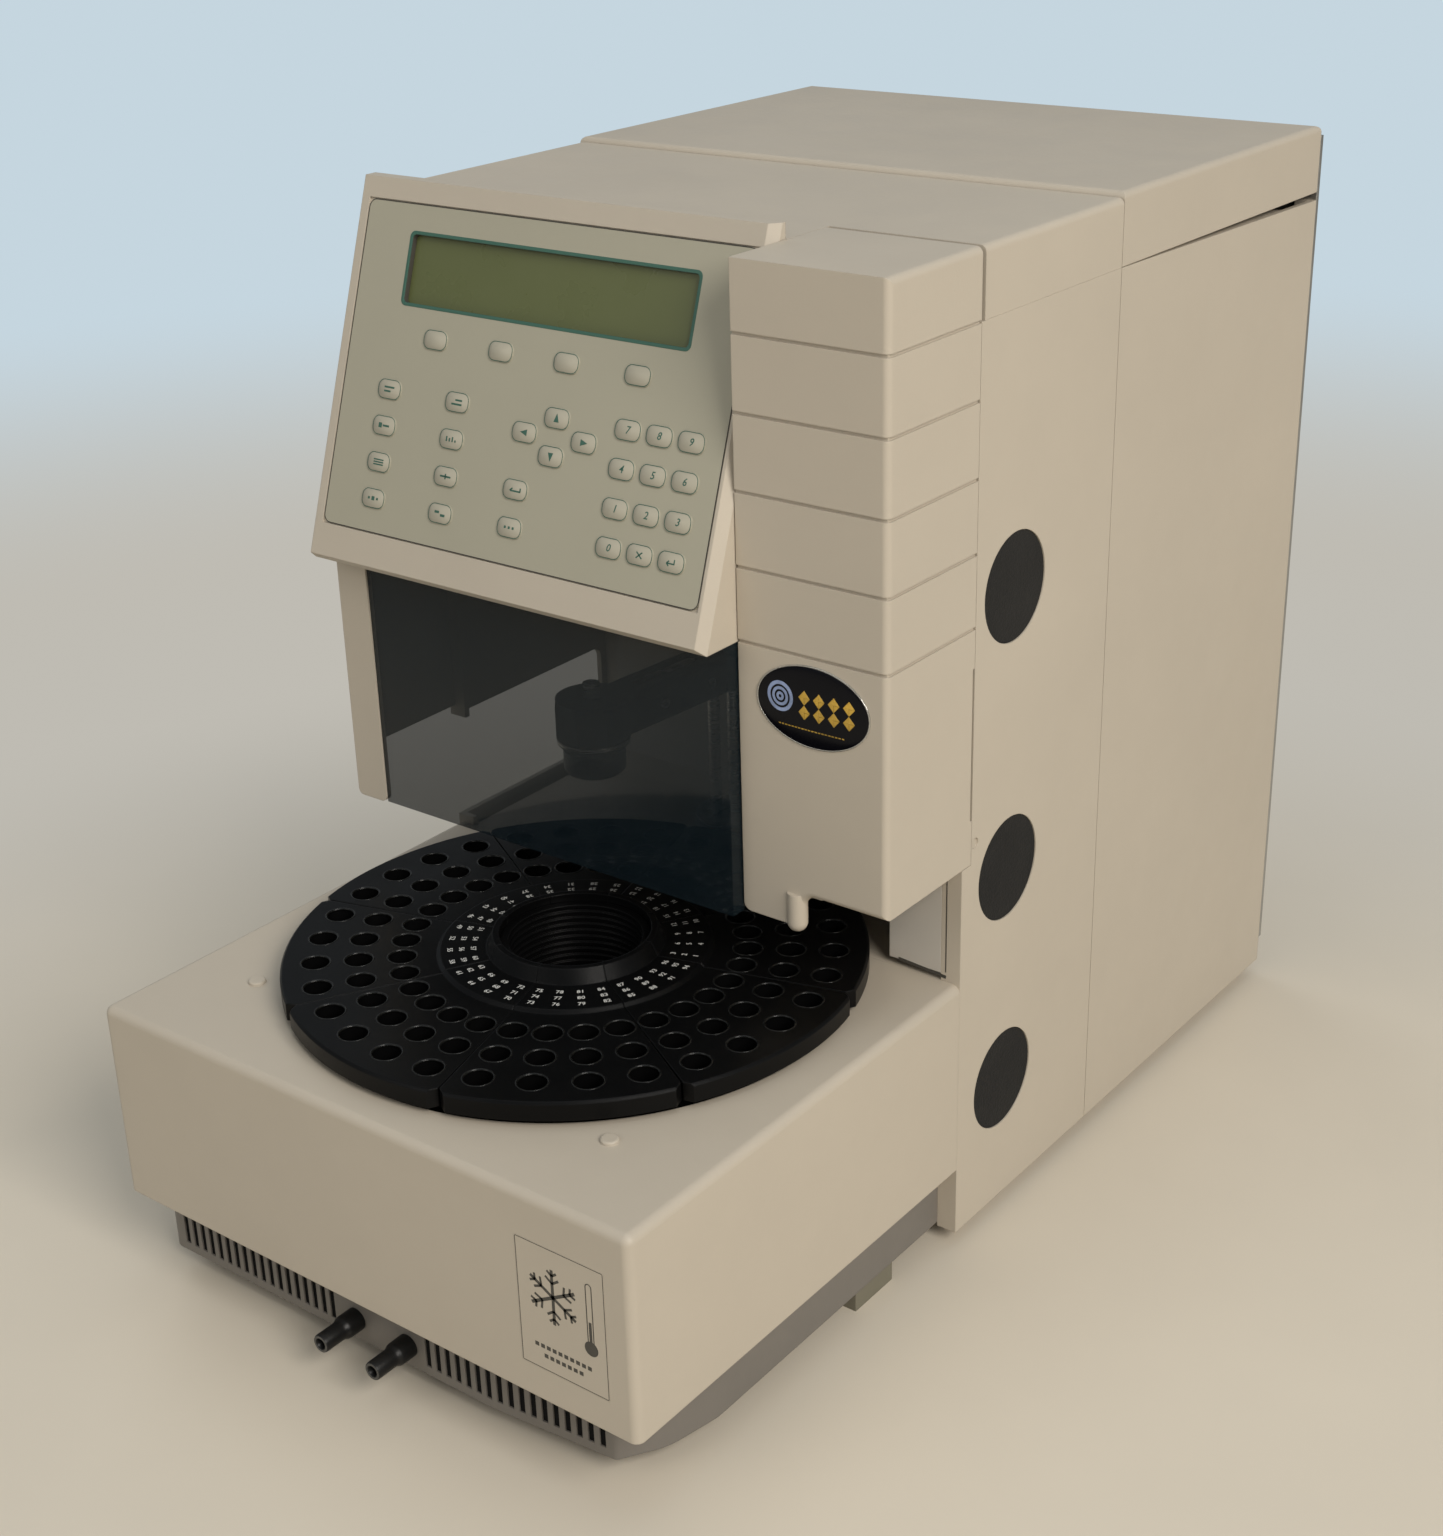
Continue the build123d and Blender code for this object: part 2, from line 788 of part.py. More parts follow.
def fan_rotor():
    z = (fan_back + running_gap, fan_thickness - fan_end_gap)
    rotor = upright(0, 0, z, fan_hub_radius)
    middle = sum(z) / 2
    span = (z[1] - z[0]) * cos(radians(fan_blade_pitch))
    for number in range(fan_blade_count):
        blade = Box(fan_blade_radius, fan_blade_thickness, span)
        blade = Rot(fan_blade_pitch, 0, 0) * blade
        blade = Pos(fan_blade_radius / 2, 0, middle) * blade
        rotor += Rot(0, 0, number * 360 / fan_blade_count) * blade
    rotor &= upright(0, 0, z, fan_blade_radius)
    bore = (z[0] - overrun, fan_thickness - fan_back + running_gap)
    return rotor - upright(0, 0, bore, fan_pin_radius + bearing_gap)


cooling_fan_place = Pos(0, sink_front_depth + sink_length / 2, floor_top)
rear_fan_place = Pos(rear_fan_x, body_depth, rear_fan_height) * Rot(90, 0, 0)


# Turning tray
def make_segment():
    z0 = segment_bottom
    rim = tray_top - tray_rim_height
    raised = tray_top + plateau_height
    outline = (
        (segment_inner_radius, z0),
        (segment_skirt_radius, z0),
        (segment_skirt_radius, rim),
        (tray_radius, rim),
        (tray_radius, tray_top - rim_chamfer),
        (tray_radius - rim_chamfer, tray_top),
        (plateau_radius, tray_top),
        (plateau_radius - plateau_height, raised),
        (segment_inner_radius, raised),
    )
    share = 360 / segment_count
    segment = turned_profile(outline, share - segment_gap_angle)
    corners = segment.edges().filter_by(Axis.Z)
    rim_corners = [
        edge for edge in corners
        if hypot(edge.center().X, edge.center().Y) > tray_radius - rim_chamfer / 2
    ]
    segment = chamfer(rim_corners, segment_corner)
    holes = []
    floor = (z0 + vial_hole_floor, tray_top + overrun)
    for ring in vial_ring_radii:
        for place in range(vials_per_ring):
            angle = radians((place + 0.5) * share / vials_per_ring - segment_gap_angle / 2)
            holes.append(upright(ring * cos(angle), ring * sin(angle), floor, vial_hole_radius))
    return segment - holes


def make_finger_lip():
    """The length of the ring for fingers that one segment carries."""
    raised = tray_top + plateau_height
    top = tray_top + lip_height
    outline = (
        (segment_inner_radius, raised),
        (lip_base_radius, raised),
        (lip_top_radius, top),
        (segment_inner_radius, top),
    )
    return turned_profile(outline, 360 / segment_count - segment_gap_angle)


def make_segments():
    share = 360 / segment_count
    start = tray_rest_angle + segment_gap_angle / 2
    return [
        Pos(0, tray_depth, 0) * Rot(0, 0, start + number * share) * one
        for one in (make_segment(), make_finger_lip())
        for number in range(segment_count)
    ]


def make_turntable():
    plate = upright(0, tray_depth, (turntable_bottom, segment_bottom), turntable_radius)
    top = tray_top + lip_height - hub_recess
    plate += upright(0, tray_depth, (segment_bottom, top), hub_radius)
    plate -= upright(0, tray_depth, (segment_bottom, top + overrun), hub_bore_radius)
    for number in range(hub_groove_count):
        low = top - (number + 1) * hub_groove_pitch
        ring = upright(0, tray_depth, (low, low + hub_groove_width), hub_bore_radius + hub_groove_depth)
        plate -= ring
    seat = (turntable_bottom - overrun, turntable_bottom + spindle_seat)
    return plate - upright(0, tray_depth, seat, spindle_radius + bearing_gap)


def toothed_wheel(teeth, height):
    """A spur wheel with straight-sided teeth, one tooth centred on the X axis."""
    radius = gear_module * teeth / 2
    root = radius - gear_module * dedendum_share
    tip = radius + gear_module * addendum_share
    pitch = 2 * pi / teeth
    tooth_angle = pitch / 2
    points = []
    for number in range(teeth):
        centre = number * pitch
        half_root = tooth_angle * tooth_root_share
        half_tip = tooth_angle * tooth_tip_share
        for reach, turn in ((root, -half_root), (tip, -half_tip), (tip, half_tip), (root, half_root)):
            points.append((reach * cos(centre + turn), reach * sin(centre + turn)))
    return extrude(make_face(Polyline(*points, close=True)), height)


def make_spindle():
    """The tray's spindle with its drive gear cut from the same piece."""
    wheel = Pos(0, tray_depth, gear_bottom) * Rot(0, 0, 90) * toothed_wheel(gear_teeth, gear_height)
    wheel += upright(0, tray_depth, (gear_bottom, turntable_bottom + spindle_seat), spindle_radius)
    hub = (gear_bottom + gear_height, gear_bottom + gear_height + spindle_seat)
    return wheel + upright(0, tray_depth, hub, bearing_radius)


def make_pinion():
    half_pitch = 180 / pinion_teeth
    wheel = Rot(0, 0, 90 + half_pitch) * toothed_wheel(pinion_teeth, gear_height)
    wheel = Pos(0, pinion_depth, gear_bottom) * wheel
    shaft = (tray_motor_top - motor_shaft_depth, gear_bottom)
    return wheel + upright(0, pinion_depth, shaft, motor_shaft_radius)


def stepper(x, y, z, side, bore_radius, bore):
    """A square motor with a shaft bore."""
    body = block(around(x, side), around(y, side), z)
    body = fillet(body.edges().filter_by(Axis.Z), motor_corner)
    return body - upright(x, y, bore, bore_radius)


def make_tray_motor():
    z = (floor_top, tray_motor_top)
    bore = (z[1] - motor_shaft_depth - running_gap, z[1] + overrun)
    return stepper(0, pinion_depth, z, motor_side, motor_shaft_radius + bearing_gap, bore)


# Needle tower, arm and port
tower_flange = (housing_top + running_gap, tower_flange_top)
lift_motor_z = (tower_plate_height + tower_plate, tower_plate_height + tower_plate + lift_motor_height)
lift_screw_z = (tower_flange[1] - spindle_seat, lift_motor_z[0] + lift_motor_height * 2 / 3)
foot_top = foot_bottom + foot_height


def make_tower():
    tower = upright(0, 0, tower_flange, tower_flange_radius)
    shaft = (tower_flange[0] - tower_shaft_length, tower_flange[0])
    tower += upright(0, 0, shaft, tower_shaft_radius)
    top = (tower_plate_height, tower_plate_height + tower_plate)
    tower += block(around(0, tower_plate_width), around(0, tower_plate_length), top)
    for x in around(0, guide_spacing):
        tower += upright(x, 0, (tower_flange[1], tower_plate_height), guide_radius)
    seat = (lift_screw_z[0] - running_gap, tower_flange[1] + overrun)
    tower -= upright(0, 0, seat, lift_screw_radius + bearing_gap)
    through = (top[0] - overrun, top[1] + overrun)
    return arm_place * (tower - upright(0, 0, through, lift_screw_radius + running_gap))


def make_lift_screw():
    return arm_place * upright(0, 0, lift_screw_z, lift_screw_radius)


def make_lift_motor():
    bore = (lift_motor_z[0] - overrun, lift_screw_z[1] + running_gap)
    return arm_place * stepper(0, 0, lift_motor_z, lift_motor_side, lift_screw_radius + bearing_gap, bore)


def make_swing_motor():
    shaft_end = tower_flange[0] - tower_shaft_length
    z = (deck_bottom - motor_height, deck_bottom)
    bore = (shaft_end - running_gap, z[1] + overrun)
    return stepper(tower_x, tower_depth, z, motor_side, tower_shaft_radius + bearing_gap, bore)


def make_arm():
    z = (head_bottom, head_top)
    arm = block(around(0, carriage_width), around(0, carriage_length), z)
    arm += block(around(0, arm_width), (-arm_length, 0), (arm_bottom, arm_top))
    arm = fillet(edges_at(arm, Axis.Y, (Axis.Z, arm_top)), cover_corner)
    arm += upright(0, -arm_length, z, head_radius)
    cup = (z[0] - overrun, head_top - head_wall)
    arm -= upright(0, -arm_length, cup, head_radius - head_wall)
    arm -= upright(0, -arm_length, (cup[1], head_top + overrun), needle_radius + bearing_gap)
    for x in around(0, guide_spacing):
        arm -= upright(x, 0, (z[0] - overrun, z[1] + overrun), guide_radius + bearing_gap)
    return arm_place * (arm - upright(0, 0, (z[0] - overrun, z[1] + overrun), lift_screw_radius + nut_gap))


def make_needle():
    tip = foot_bottom + needle_tip_lift
    shoulder = tip + needle_point_length
    nut = (head_top, head_top + needle_nut_height)
    needle = upright(0, -arm_length, (shoulder, nut[1]), needle_radius)
    point = Cone(needle_point_radius, needle_radius, needle_point_length)
    needle += Pos(0, -arm_length, (tip + shoulder) / 2) * point
    return arm_place * (needle + upright(0, -arm_length, nut, needle_nut_radius))


def make_needle_foot():
    z = (foot_bottom, foot_top)
    foot = upright(0, -arm_length, z, foot_radius)
    foot = fillet(lying_at(foot.edges(), Axis.Z, z[0]), cover_corner)
    foot -= upright(0, -arm_length, (z[0] - overrun, z[1] + overrun), needle_radius + foot_slide_gap)
    pocket = (z[1] - spring_seat_depth, z[1] + overrun)
    return arm_place * (foot - upright(0, -arm_length, pocket, spring_radius + running_gap))


def make_foot_spring():
    z = (foot_top - spring_seat_depth, head_top - head_wall)
    spring = upright(0, -arm_length, z, spring_radius)
    through = (z[0] - overrun, z[1] + overrun)
    return arm_place * (spring - upright(0, -arm_length, through, spring_radius - spring_wall))


def make_port():
    x, y = port_centre()
    top = housing_top + port_height
    port = upright(x, y, (housing_top, top), port_radius)
    low = housing_top - port_spigot_length
    port += upright(x, y, (low, housing_top), port_spigot_radius)
    return port - upright(x, y, (low + port_floor, top + overrun), port_bore_radius)


# Keypad head, window and cheek
def head_outline(wall):
    """Side outline of the head, drawn in by a wall thickness."""
    slope = (sin(radians(face_tilt)), cos(radians(face_tilt)))
    across = wall / slope[1]
    back = body_front_depth + (overrun if wall else 0)
    ridge_back = face_top_depth + head_ridge_width
    low = head_bottom_height + wall
    top = face_top_height - wall
    low_front = face_bottom_depth + (low + head_lip_depth - face_bottom_height) * slope[0] / slope[1]
    return (
        (low_front + across, low + head_lip_depth),
        (face_top_depth + (top - face_top_height) * slope[0] / slope[1] + across, top),
        (ridge_back - wall, top),
        (ridge_back - wall, side_top_height - wall),
        (back, side_top_height - wall),
        (back, low),
        (low_front + head_lip_depth + across, low),
    )


def make_head():
    x = (head_left, head_right)
    shell = side_profile(head_outline(0), x)
    face_edges = lying_at(shell.edges(), Axis.X, head_right)
    near = face_length / 3
    middle = (face_bottom_depth + face_top_depth) / 2
    face_edges = face_edges.filter_by_position(Axis.Y, middle - near / 4, middle + near / 4)
    face_edges = [edge for edge in face_edges if edge.length > near]
    shell = chamfer(face_edges, face_bevel)
    wall = head_wall_thickness
    shell -= side_profile(head_outline(wall), (x[0] + wall, x[1] - wall))
    pocket_x = (membrane_left - pocket_clearance, membrane_right + pocket_clearance)
    pocket_down = (membrane_top - pocket_clearance, membrane_bottom + pocket_clearance)
    shell -= face_slab(pocket_x, pocket_down, (-pocket_depth, overrun))
    window = ((display_left, display_right), (display_top, display_bottom))
    return shell - face_slab(*window, (-wall - overrun, overrun))


def raised_key(x, down, size):
    """One raised key: a thin slab with round corners."""
    outline = RectangleRounded(size[0], size[1], key_corner)
    outline = on_face(x, down, membrane_thickness - pocket_depth) * outline
    return extrude(outline, key_rise, dir=face_plane.z_dir)


def key_place(across_share, down_share):
    """A place on the membrane, as shares of its width and height."""
    across = membrane_left + across_share * (membrane_right - membrane_left)
    return across, membrane_top + down_share * (membrane_bottom - membrane_top)


def small_key_places():
    shares = [(across, down) for across in function_column_shares for down in function_row_shares]
    shares += [*arrow_key_shares, *command_key_shares]
    shares += [(across, down) for across in number_column_shares for down in number_row_shares]
    return [key_place(*share) for share in shares]


def make_membrane():
    out = (-pocket_depth, membrane_thickness - pocket_depth)
    sheet = face_slab((membrane_left, membrane_right), (membrane_top, membrane_bottom), out)
    corners = [edge for edge in sheet.edges() if abs(edge.length - membrane_thickness) < pocket_clearance / 4]
    sheet = fillet(corners, membrane_corner)
    opening = ((display_left, display_right), (display_top, display_bottom))
    sheet -= face_slab(*opening, (-overrun, overrun))
    keys = [raised_key(*key_place(*share), soft_key_size) for share in soft_key_shares]
    keys += [raised_key(x, down, small_key_size) for x, down in small_key_places()]
    return sheet + keys


def make_display():
    x = (display_left - display_margin, display_right + display_margin)
    down = (display_top - display_margin, display_bottom + display_margin)
    inside = -head_wall_thickness
    return face_slab(x, down, (inside - display_thickness, inside))


def make_keypad_board():
    x = (membrane_left + board_margin, membrane_right - board_margin)
    down = (display_bottom + board_margin, membrane_bottom - board_margin)
    inside = -head_wall_thickness
    return face_slab(x, down, (inside - board_thickness, inside))


def make_cheek():
    strip_y = (window_depth + window_thickness - strip_thickness, window_depth + window_thickness)
    strip = block((head_left, strip_right), strip_y, (window_bottom, head_bottom_height))
    corners = edges_at(strip, Axis.Y, (Axis.Z, window_bottom))
    strip = fillet(corners, cover_corner)
    side = block(
        (head_left, head_left + strip_thickness),
        (strip_y[1], body_front_depth),
        (cheek_bottom, head_bottom_height),
    )
    return strip + side


def make_window():
    """A flat sheet, and a return at its right that closes the view past it to the column."""
    x = (strip_right, column_left - running_gap * 2)
    z = (window_bottom, head_bottom_height)
    sheet = block(x, (window_depth, window_depth + window_thickness), z)
    return_y = (window_depth, column_front_depth + window_lap)
    return sheet + block((x[1] - window_thickness, x[1]), return_y, z)


# Side panels and vents
def side_panel(side, y, z):
    """A panel with returned edges all round, on side 1 for right and -1 for left."""
    x = sorted((side * (half_width - panel_return), side * half_width))
    inner_x = sorted((side * (half_width - panel_return - overrun), side * panel_inner))
    panel = block(x, y, z)
    inner_y = (y[0] + skin, y[1] - skin)
    return panel - block(inner_x, inner_y, (z[0] + skin, z[1] - skin))


def front_panel(side):
    y = (body_front_depth, seam_depth - seam_gap / 2)
    return side_panel(side, y, (skirt_clearance, side_top_height))


def make_right_front_panel():
    panel = front_panel(1)
    left = half_width - panel_return - overrun
    cut = block(
        (left, half_width + overrun),
        (body_front_depth - overrun, column_seam_depth),
        (column_high_bottom - running_gap, side_top_height + overrun),
    )
    panel -= cut
    edge = block(
        (half_width - panel_return, panel_inner + skin / 2),
        (column_seam_depth, column_seam_depth + skin),
        (column_high_bottom, side_top_height),
    )
    panel += edge
    dimple = (half_width - catch_recess, half_width + overrun)
    panel -= crosswise(dimple, catch_depth, catch_height, catch_radius)
    for height in vent_heights:
        panel -= crosswise((left, half_width + overrun), vent_depth, height, vent_radius)
    return panel


def make_left_front_panel():
    """Its opening runs out through the front edge, under the cheek."""
    y = (body_front_depth - overrun, bulkhead_front - side_opening_margin)
    z = (housing_top + side_opening_margin, side_opening_top)
    opening = block((-half_width - overrun, panel_return + overrun - half_width), y, z)
    opening = fillet(edges_at(opening, Axis.X, (Axis.Y, y[1])), side_opening_corner)
    return front_panel(-1) - opening


def make_rear_side_panel(side):
    y = (seam_depth + seam_gap / 2, body_depth)
    panel = side_panel(side, y, (skirt_clearance, side_top_height))
    top = side_top_height
    above = (
        (y[0], top),
        (y[1], top - rear_panel_drop),
        (y[1] + overrun, top - rear_panel_drop),
        (y[1] + overrun, top + overrun),
        (y[0], top + overrun),
    )
    panel -= side_profile(above, (-half_width - overrun, half_width + overrun))
    for height in screw_heights:
        x = side * (half_base + (panel_inner - half_base) / 2)
        hole = (body_depth - skin - overrun, body_depth + overrun)
        panel -= lengthwise(x, hole, height, screw_hole_radius)
    return panel


def make_vent_discs():
    discs = []
    for height in vent_heights:
        face = (panel_inner, half_width - vent_recess)
        disc = crosswise(face, vent_depth, height, vent_radius - running_gap / 2)
        lip = (panel_inner - vent_lip_thickness, panel_inner)
        discs.append(disc + crosswise(lip, vent_depth, height, vent_radius + vent_lip))
    return discs


# Top covers
def make_front_cover():
    front = face_top_depth + head_ridge_width + running_gap
    back = seam_depth - seam_gap / 2
    outline = (
        (-half_width, front),
        (column_left - running_gap, front),
        (column_left - running_gap, cover_join_depth),
        (half_width, cover_join_depth),
        (half_width, back),
        (-half_width, back),
    )
    inner = (
        (skin - half_width, front + skin),
        (column_left - running_gap - skin, front + skin),
        (column_left - running_gap - skin, cover_join_depth + skin),
        (half_width - skin, cover_join_depth + skin),
        (half_width - skin, back - skin),
        (skin - half_width, back - skin),
    )
    cover = extrude(make_face(Polyline(*outline, close=True)), front_cover_height)
    cover = Pos(0, 0, side_top_height) * cover
    sides = edges_at(cover, Axis.Y, (Axis.Z, cover_top), (Axis.X, half_width))
    sides += edges_at(cover, Axis.Y, (Axis.Z, cover_top), (Axis.X, -half_width))
    cover = fillet(sides, cover_corner)
    hollow = extrude(make_face(Polyline(*inner, close=True)), front_cover_height - skin + overrun)
    return cover - Pos(0, 0, side_top_height - overrun) * hollow


def make_lid():
    y = (seam_depth + seam_gap / 2, body_depth - running_gap)
    z = (side_top_height + running_gap, lid_top)
    lid = block((-half_width, half_width), y, z)
    upper = lying_at(lid.edges(), Axis.Z, lid_top)
    lid = fillet(upper, cover_corner)
    inner_y = (y[0] + skin, y[1] - skin)
    return lid - block((-panel_inner, panel_inner), inner_y, (z[0] - overrun, lid_top - skin))


# Column cover and plate
def column_outline(wall):
    """Front outline of the column, drawn in by a wall thickness."""
    return (
        (column_left + wall, column_low_bottom + wall),
        (column_step - wall, column_low_bottom + wall),
        (column_step - wall, column_high_bottom + wall),
        (half_width - wall, column_high_bottom + wall),
        (half_width - wall, cover_top - wall),
        (column_left + wall, cover_top - wall),
    )


def column_block(wall, y):
    """The column drawn out along Y, its lower left corner and the inside of its step rounded."""
    solid = front_profile(column_outline(wall), y)
    step = ((Axis.X, column_step - wall), (Axis.Z, column_high_bottom + wall))
    solid = fillet(edges_at(solid, Axis.Y, *step), column_step_corner + wall)
    corner = ((Axis.X, column_left + wall), (Axis.Z, column_low_bottom + wall))
    return fillet(edges_at(solid, Axis.Y, *corner), column_corner - wall)


def make_column_cover():
    """Below its floor, only the front and left walls go on down, as a tab with a rounded bead."""
    y = (column_front_depth, column_back_depth)
    cover = column_block(0, y)
    front = cover.faces().sort_by(Axis.Y)[0].edges().filter_by(Axis.Z)
    side = edges_at(cover, Axis.Y, (Axis.Z, cover_top), (Axis.X, half_width))
    ledge = edges_at(cover, Axis.X, (Axis.Y, y[0]), (Axis.Z, column_high_bottom))
    cover = fillet(front.sort_by(Axis.X)[-1:] + side + ledge, cover_corner)
    cover -= column_block(skin, (y[0] + skin, y[1] + overrun))
    step_end = column_step + column_step_corner
    floor_z = (column_high_bottom, column_high_bottom + skin)
    cover += block((column_left + skin / 2, step_end + skin), (y[0] + skin / 2, y[1]), floor_z)
    pocket_y = (y[0] + skin, y[1] + overrun)
    pocket_z = (column_low_bottom - overrun, column_high_bottom)
    cover -= block((column_left + skin, step_end + overrun), pocket_y, pocket_z)
    clear_x = (column_left - overrun, panel_inner)
    clear_z = (column_low_bottom - overrun, side_top_height)
    cover -= block(clear_x, (plate_front - running_gap, y[1] + overrun), clear_z)
    for height in groove_heights:
        z = around(height, groove_width)
        band = block((column_left - overrun, half_width + overrun), (y[0] - overrun, y[1] + overrun), z)
        core_x = (column_left - overrun * 2, half_width - groove_depth)
        band -= block(core_x, (y[0] + groove_depth, y[1] + overrun * 2), (z[0] - overrun, z[1] + overrun))
        cover -= band
    notch_y = (y[1] - notch_width, y[1] + overrun)
    notch_z = (notch_bottom, notch_bottom + notch_height)
    cover -= block((panel_inner - overrun, half_width + overrun), notch_y, notch_z)
    bead = (bead_bottom, column_high_bottom)
    centre = column_front_depth + bead_set
    cover += upright(bead_x, centre, bead, bead_radius)
    return cover + Pos(bead_x, centre, bead_bottom) * Sphere(bead_radius)


def make_column_plate():
    """Wide behind the keypad head, as wide as the column below it, with a leg beside the tray."""
    right = panel_inner - running_gap
    outline = (
        (plate_leg_left, plate_leg_bottom),
        (half_base, plate_leg_bottom),
        (half_base, column_high_bottom),
        (right, column_high_bottom),
        (right, plate_top),
        (head_right - head_wall_thickness, plate_top),
        (head_right - head_wall_thickness, head_bottom_height),
        (column_left, head_bottom_height),
        (column_left, column_low_bottom),
        (plate_leg_left, column_low_bottom),
    )
    return front_profile(outline, (plate_front, plate_back))


# Syringe pump
barrel_length = syringe_travel + barrel_cap + plunger_tip_length + running_gap
pump_carriage_top = syringe_top - barrel_length - plunger_rod_show
pump_motor_top = pump_carriage_top - pump_carriage_height - syringe_travel - pump_motor_clearance
pump_motor_bottom = pump_motor_top - pump_motor_height


def make_barrel():
    bottom = syringe_top - barrel_length
    barrel = upright(syringe_x, syringe_depth, (bottom, syringe_top), barrel_radius)
    bore = (bottom - overrun, syringe_top - barrel_cap)
    return barrel - upright(syringe_x, syringe_depth, bore, barrel_bore)


def make_plunger():
    tip_top = syringe_top - barrel_cap - running_gap
    tip = (tip_top - plunger_tip_length, tip_top)
    plunger = upright(syringe_x, syringe_depth, tip, barrel_bore - plunger_gap)
    plunger += upright(syringe_x, syringe_depth, (pump_carriage_top, tip[0]), plunger_rod_radius)
    carriage_y = (
        syringe_depth - pump_carriage_height / 2,
        syringe_depth + pump_screw_offset + pump_carriage_height / 2,
    )
    z = (pump_carriage_top - pump_carriage_height, pump_carriage_top)
    plunger += block(around(syringe_x, pump_carriage_width), carriage_y, z)
    screw_y = syringe_depth + pump_screw_offset
    nut = (z[0] - overrun, z[1] + overrun)
    return plunger - upright(syringe_x, screw_y, nut, pump_screw_radius + nut_gap)


pump_screw_z = (pump_motor_bottom + pump_motor_height / 3, pump_carriage_top + pump_carriage_height)


def make_pump_screw():
    return upright(syringe_x, syringe_depth + pump_screw_offset, pump_screw_z, pump_screw_radius)


def make_pump_motor():
    y = syringe_depth + pump_screw_offset
    z = (pump_motor_bottom, pump_motor_bottom + pump_motor_height)
    motor = block(around(syringe_x, pump_motor_side), (y - pump_motor_side / 2, plate_front), z)
    bore = (pump_screw_z[0] - running_gap, z[1] + overrun)
    return motor - upright(syringe_x, y, bore, pump_screw_radius + bearing_gap)


selector_back = selector_front_depth + selector_depth
selector_centre = syringe_top + selector_side / 2


def make_selector_body():
    z = (syringe_top, syringe_top + selector_side)
    body = block(around(syringe_x, selector_side), (selector_front_depth, selector_back), z)
    recess = (selector_back - selector_rotor_length - running_gap, selector_back + overrun)
    body -= lengthwise(syringe_x, recess, selector_centre, selector_rotor_radius + bearing_gap)
    side_y = (selector_front_depth + selector_back) / 2
    ends = around(syringe_x, selector_side)
    for near, far in ((ends[0] - overrun, ends[0] + skin), (ends[1] - skin, ends[1] + overrun)):
        body -= crosswise((near, far), side_y, selector_centre, selector_port_radius)
    return body


def make_selector_rotor():
    y = (selector_back - selector_rotor_length, selector_back - running_gap)
    rotor = lengthwise(syringe_x, y, selector_centre, selector_rotor_radius)
    slot = (selector_centre - selector_port_radius / 2, selector_centre + selector_rotor_radius + overrun)
    groove_y = (y[0] - overrun, y[0] + selector_port_radius)
    return rotor - block(around(syringe_x, selector_port_radius), groove_y, slot)


def make_selector_motor():
    return lengthwise(syringe_x, (selector_back, plate_front), selector_centre, selector_side / 2)


# Injection valve
valve_back = valve_front_depth + valve_length


def make_stator():
    stator = lengthwise(valve_x, (valve_front_depth, valve_back), valve_height, valve_radius)
    recess = (valve_back - valve_recess, valve_back + overrun)
    stator -= lengthwise(valve_x, recess, valve_height, rotor_radius + bearing_gap)
    port = (valve_front_depth - overrun, valve_front_depth + valve_port_depth)
    for number in range(6):
        angle = radians(number * 60 + 30)
        x = valve_x + valve_port_ring * cos(angle)
        z = valve_height + valve_port_ring * sin(angle)
        stator -= lengthwise(x, port, z, valve_port_radius)
    return stator


def make_rotor():
    y = (valve_back - valve_recess + running_gap, valve_back - running_gap)
    shaft = (y[1], valve_back + rotor_shaft_length)
    rotor = lengthwise(valve_x, y, valve_height, rotor_radius)
    return rotor + lengthwise(valve_x, shaft, valve_height, rotor_shaft_radius)


def make_valve_motor():
    x = around(valve_x, valve_motor_side)
    body = block(x, (valve_back, plate_front), around(valve_height, valve_motor_side))
    bore = (valve_back - overrun, valve_back + rotor_shaft_length + running_gap)
    return body - lengthwise(valve_x, bore, valve_height, rotor_shaft_radius + bearing_gap)


# Rear bay
def make_bulkhead():
    y = (bulkhead_front, bulkhead_back)
    bulkhead = block((-half_base, half_base), y, (housing_bottom, side_top_height))
    ledge = (side_top_height - bulkhead_thickness, side_top_height)
    return bulkhead + block((-half_base, half_base), (y[1], seam_depth + ledge_width), ledge)


def make_supply():
    """A folded channel with its board, transformers and capacitors standing in it."""
    x = (supply_left, supply_left + supply_width)
    y = (supply_front_depth, supply_front_depth + supply_length)
    z = (floor_top, floor_top + supply_height)
    inner_x = (x[0] + supply_sheet, x[1] - supply_sheet)
    inner_z = (z[0] + supply_sheet, z[1] + overrun)
    supply = block(x, y, z) - block(inner_x, (y[0] - overrun, y[1] + overrun), inner_z)
    board = (z[0] + supply_sheet, z[0] + supply_board_lift)
    supply += block(inner_x, (y[0] + supply_board_lift, y[1] - supply_board_lift), board)
    part_shares = (
        (0.10, 0.12, 0.34, 0.28, 0.55),
        (0.56, 0.14, 0.30, 0.22, 0.45),
        (0.12, 0.52, 0.30, 0.34, 0.50),
    )
    for left, front, size_x, size_y, size_z in part_shares:
        part_x = (x[0] + left * supply_width, x[0] + (left + size_x) * supply_width)
        part_y = (y[0] + front * supply_length, y[0] + (front + size_y) * supply_length)
        supply += block(part_x, part_y, (board[1], board[1] + size_z * supply_height))
    can_shares = ((0.58, 0.52), (0.80, 0.52), (0.58, 0.74), (0.80, 0.74))
    for across, back in can_shares:
        can = (board[1], board[1] + supply_height * can_height_share)
        centre = (x[0] + across * supply_width, y[0] + back * supply_length)
        supply += upright(*centre, can, can_radius)
    return supply


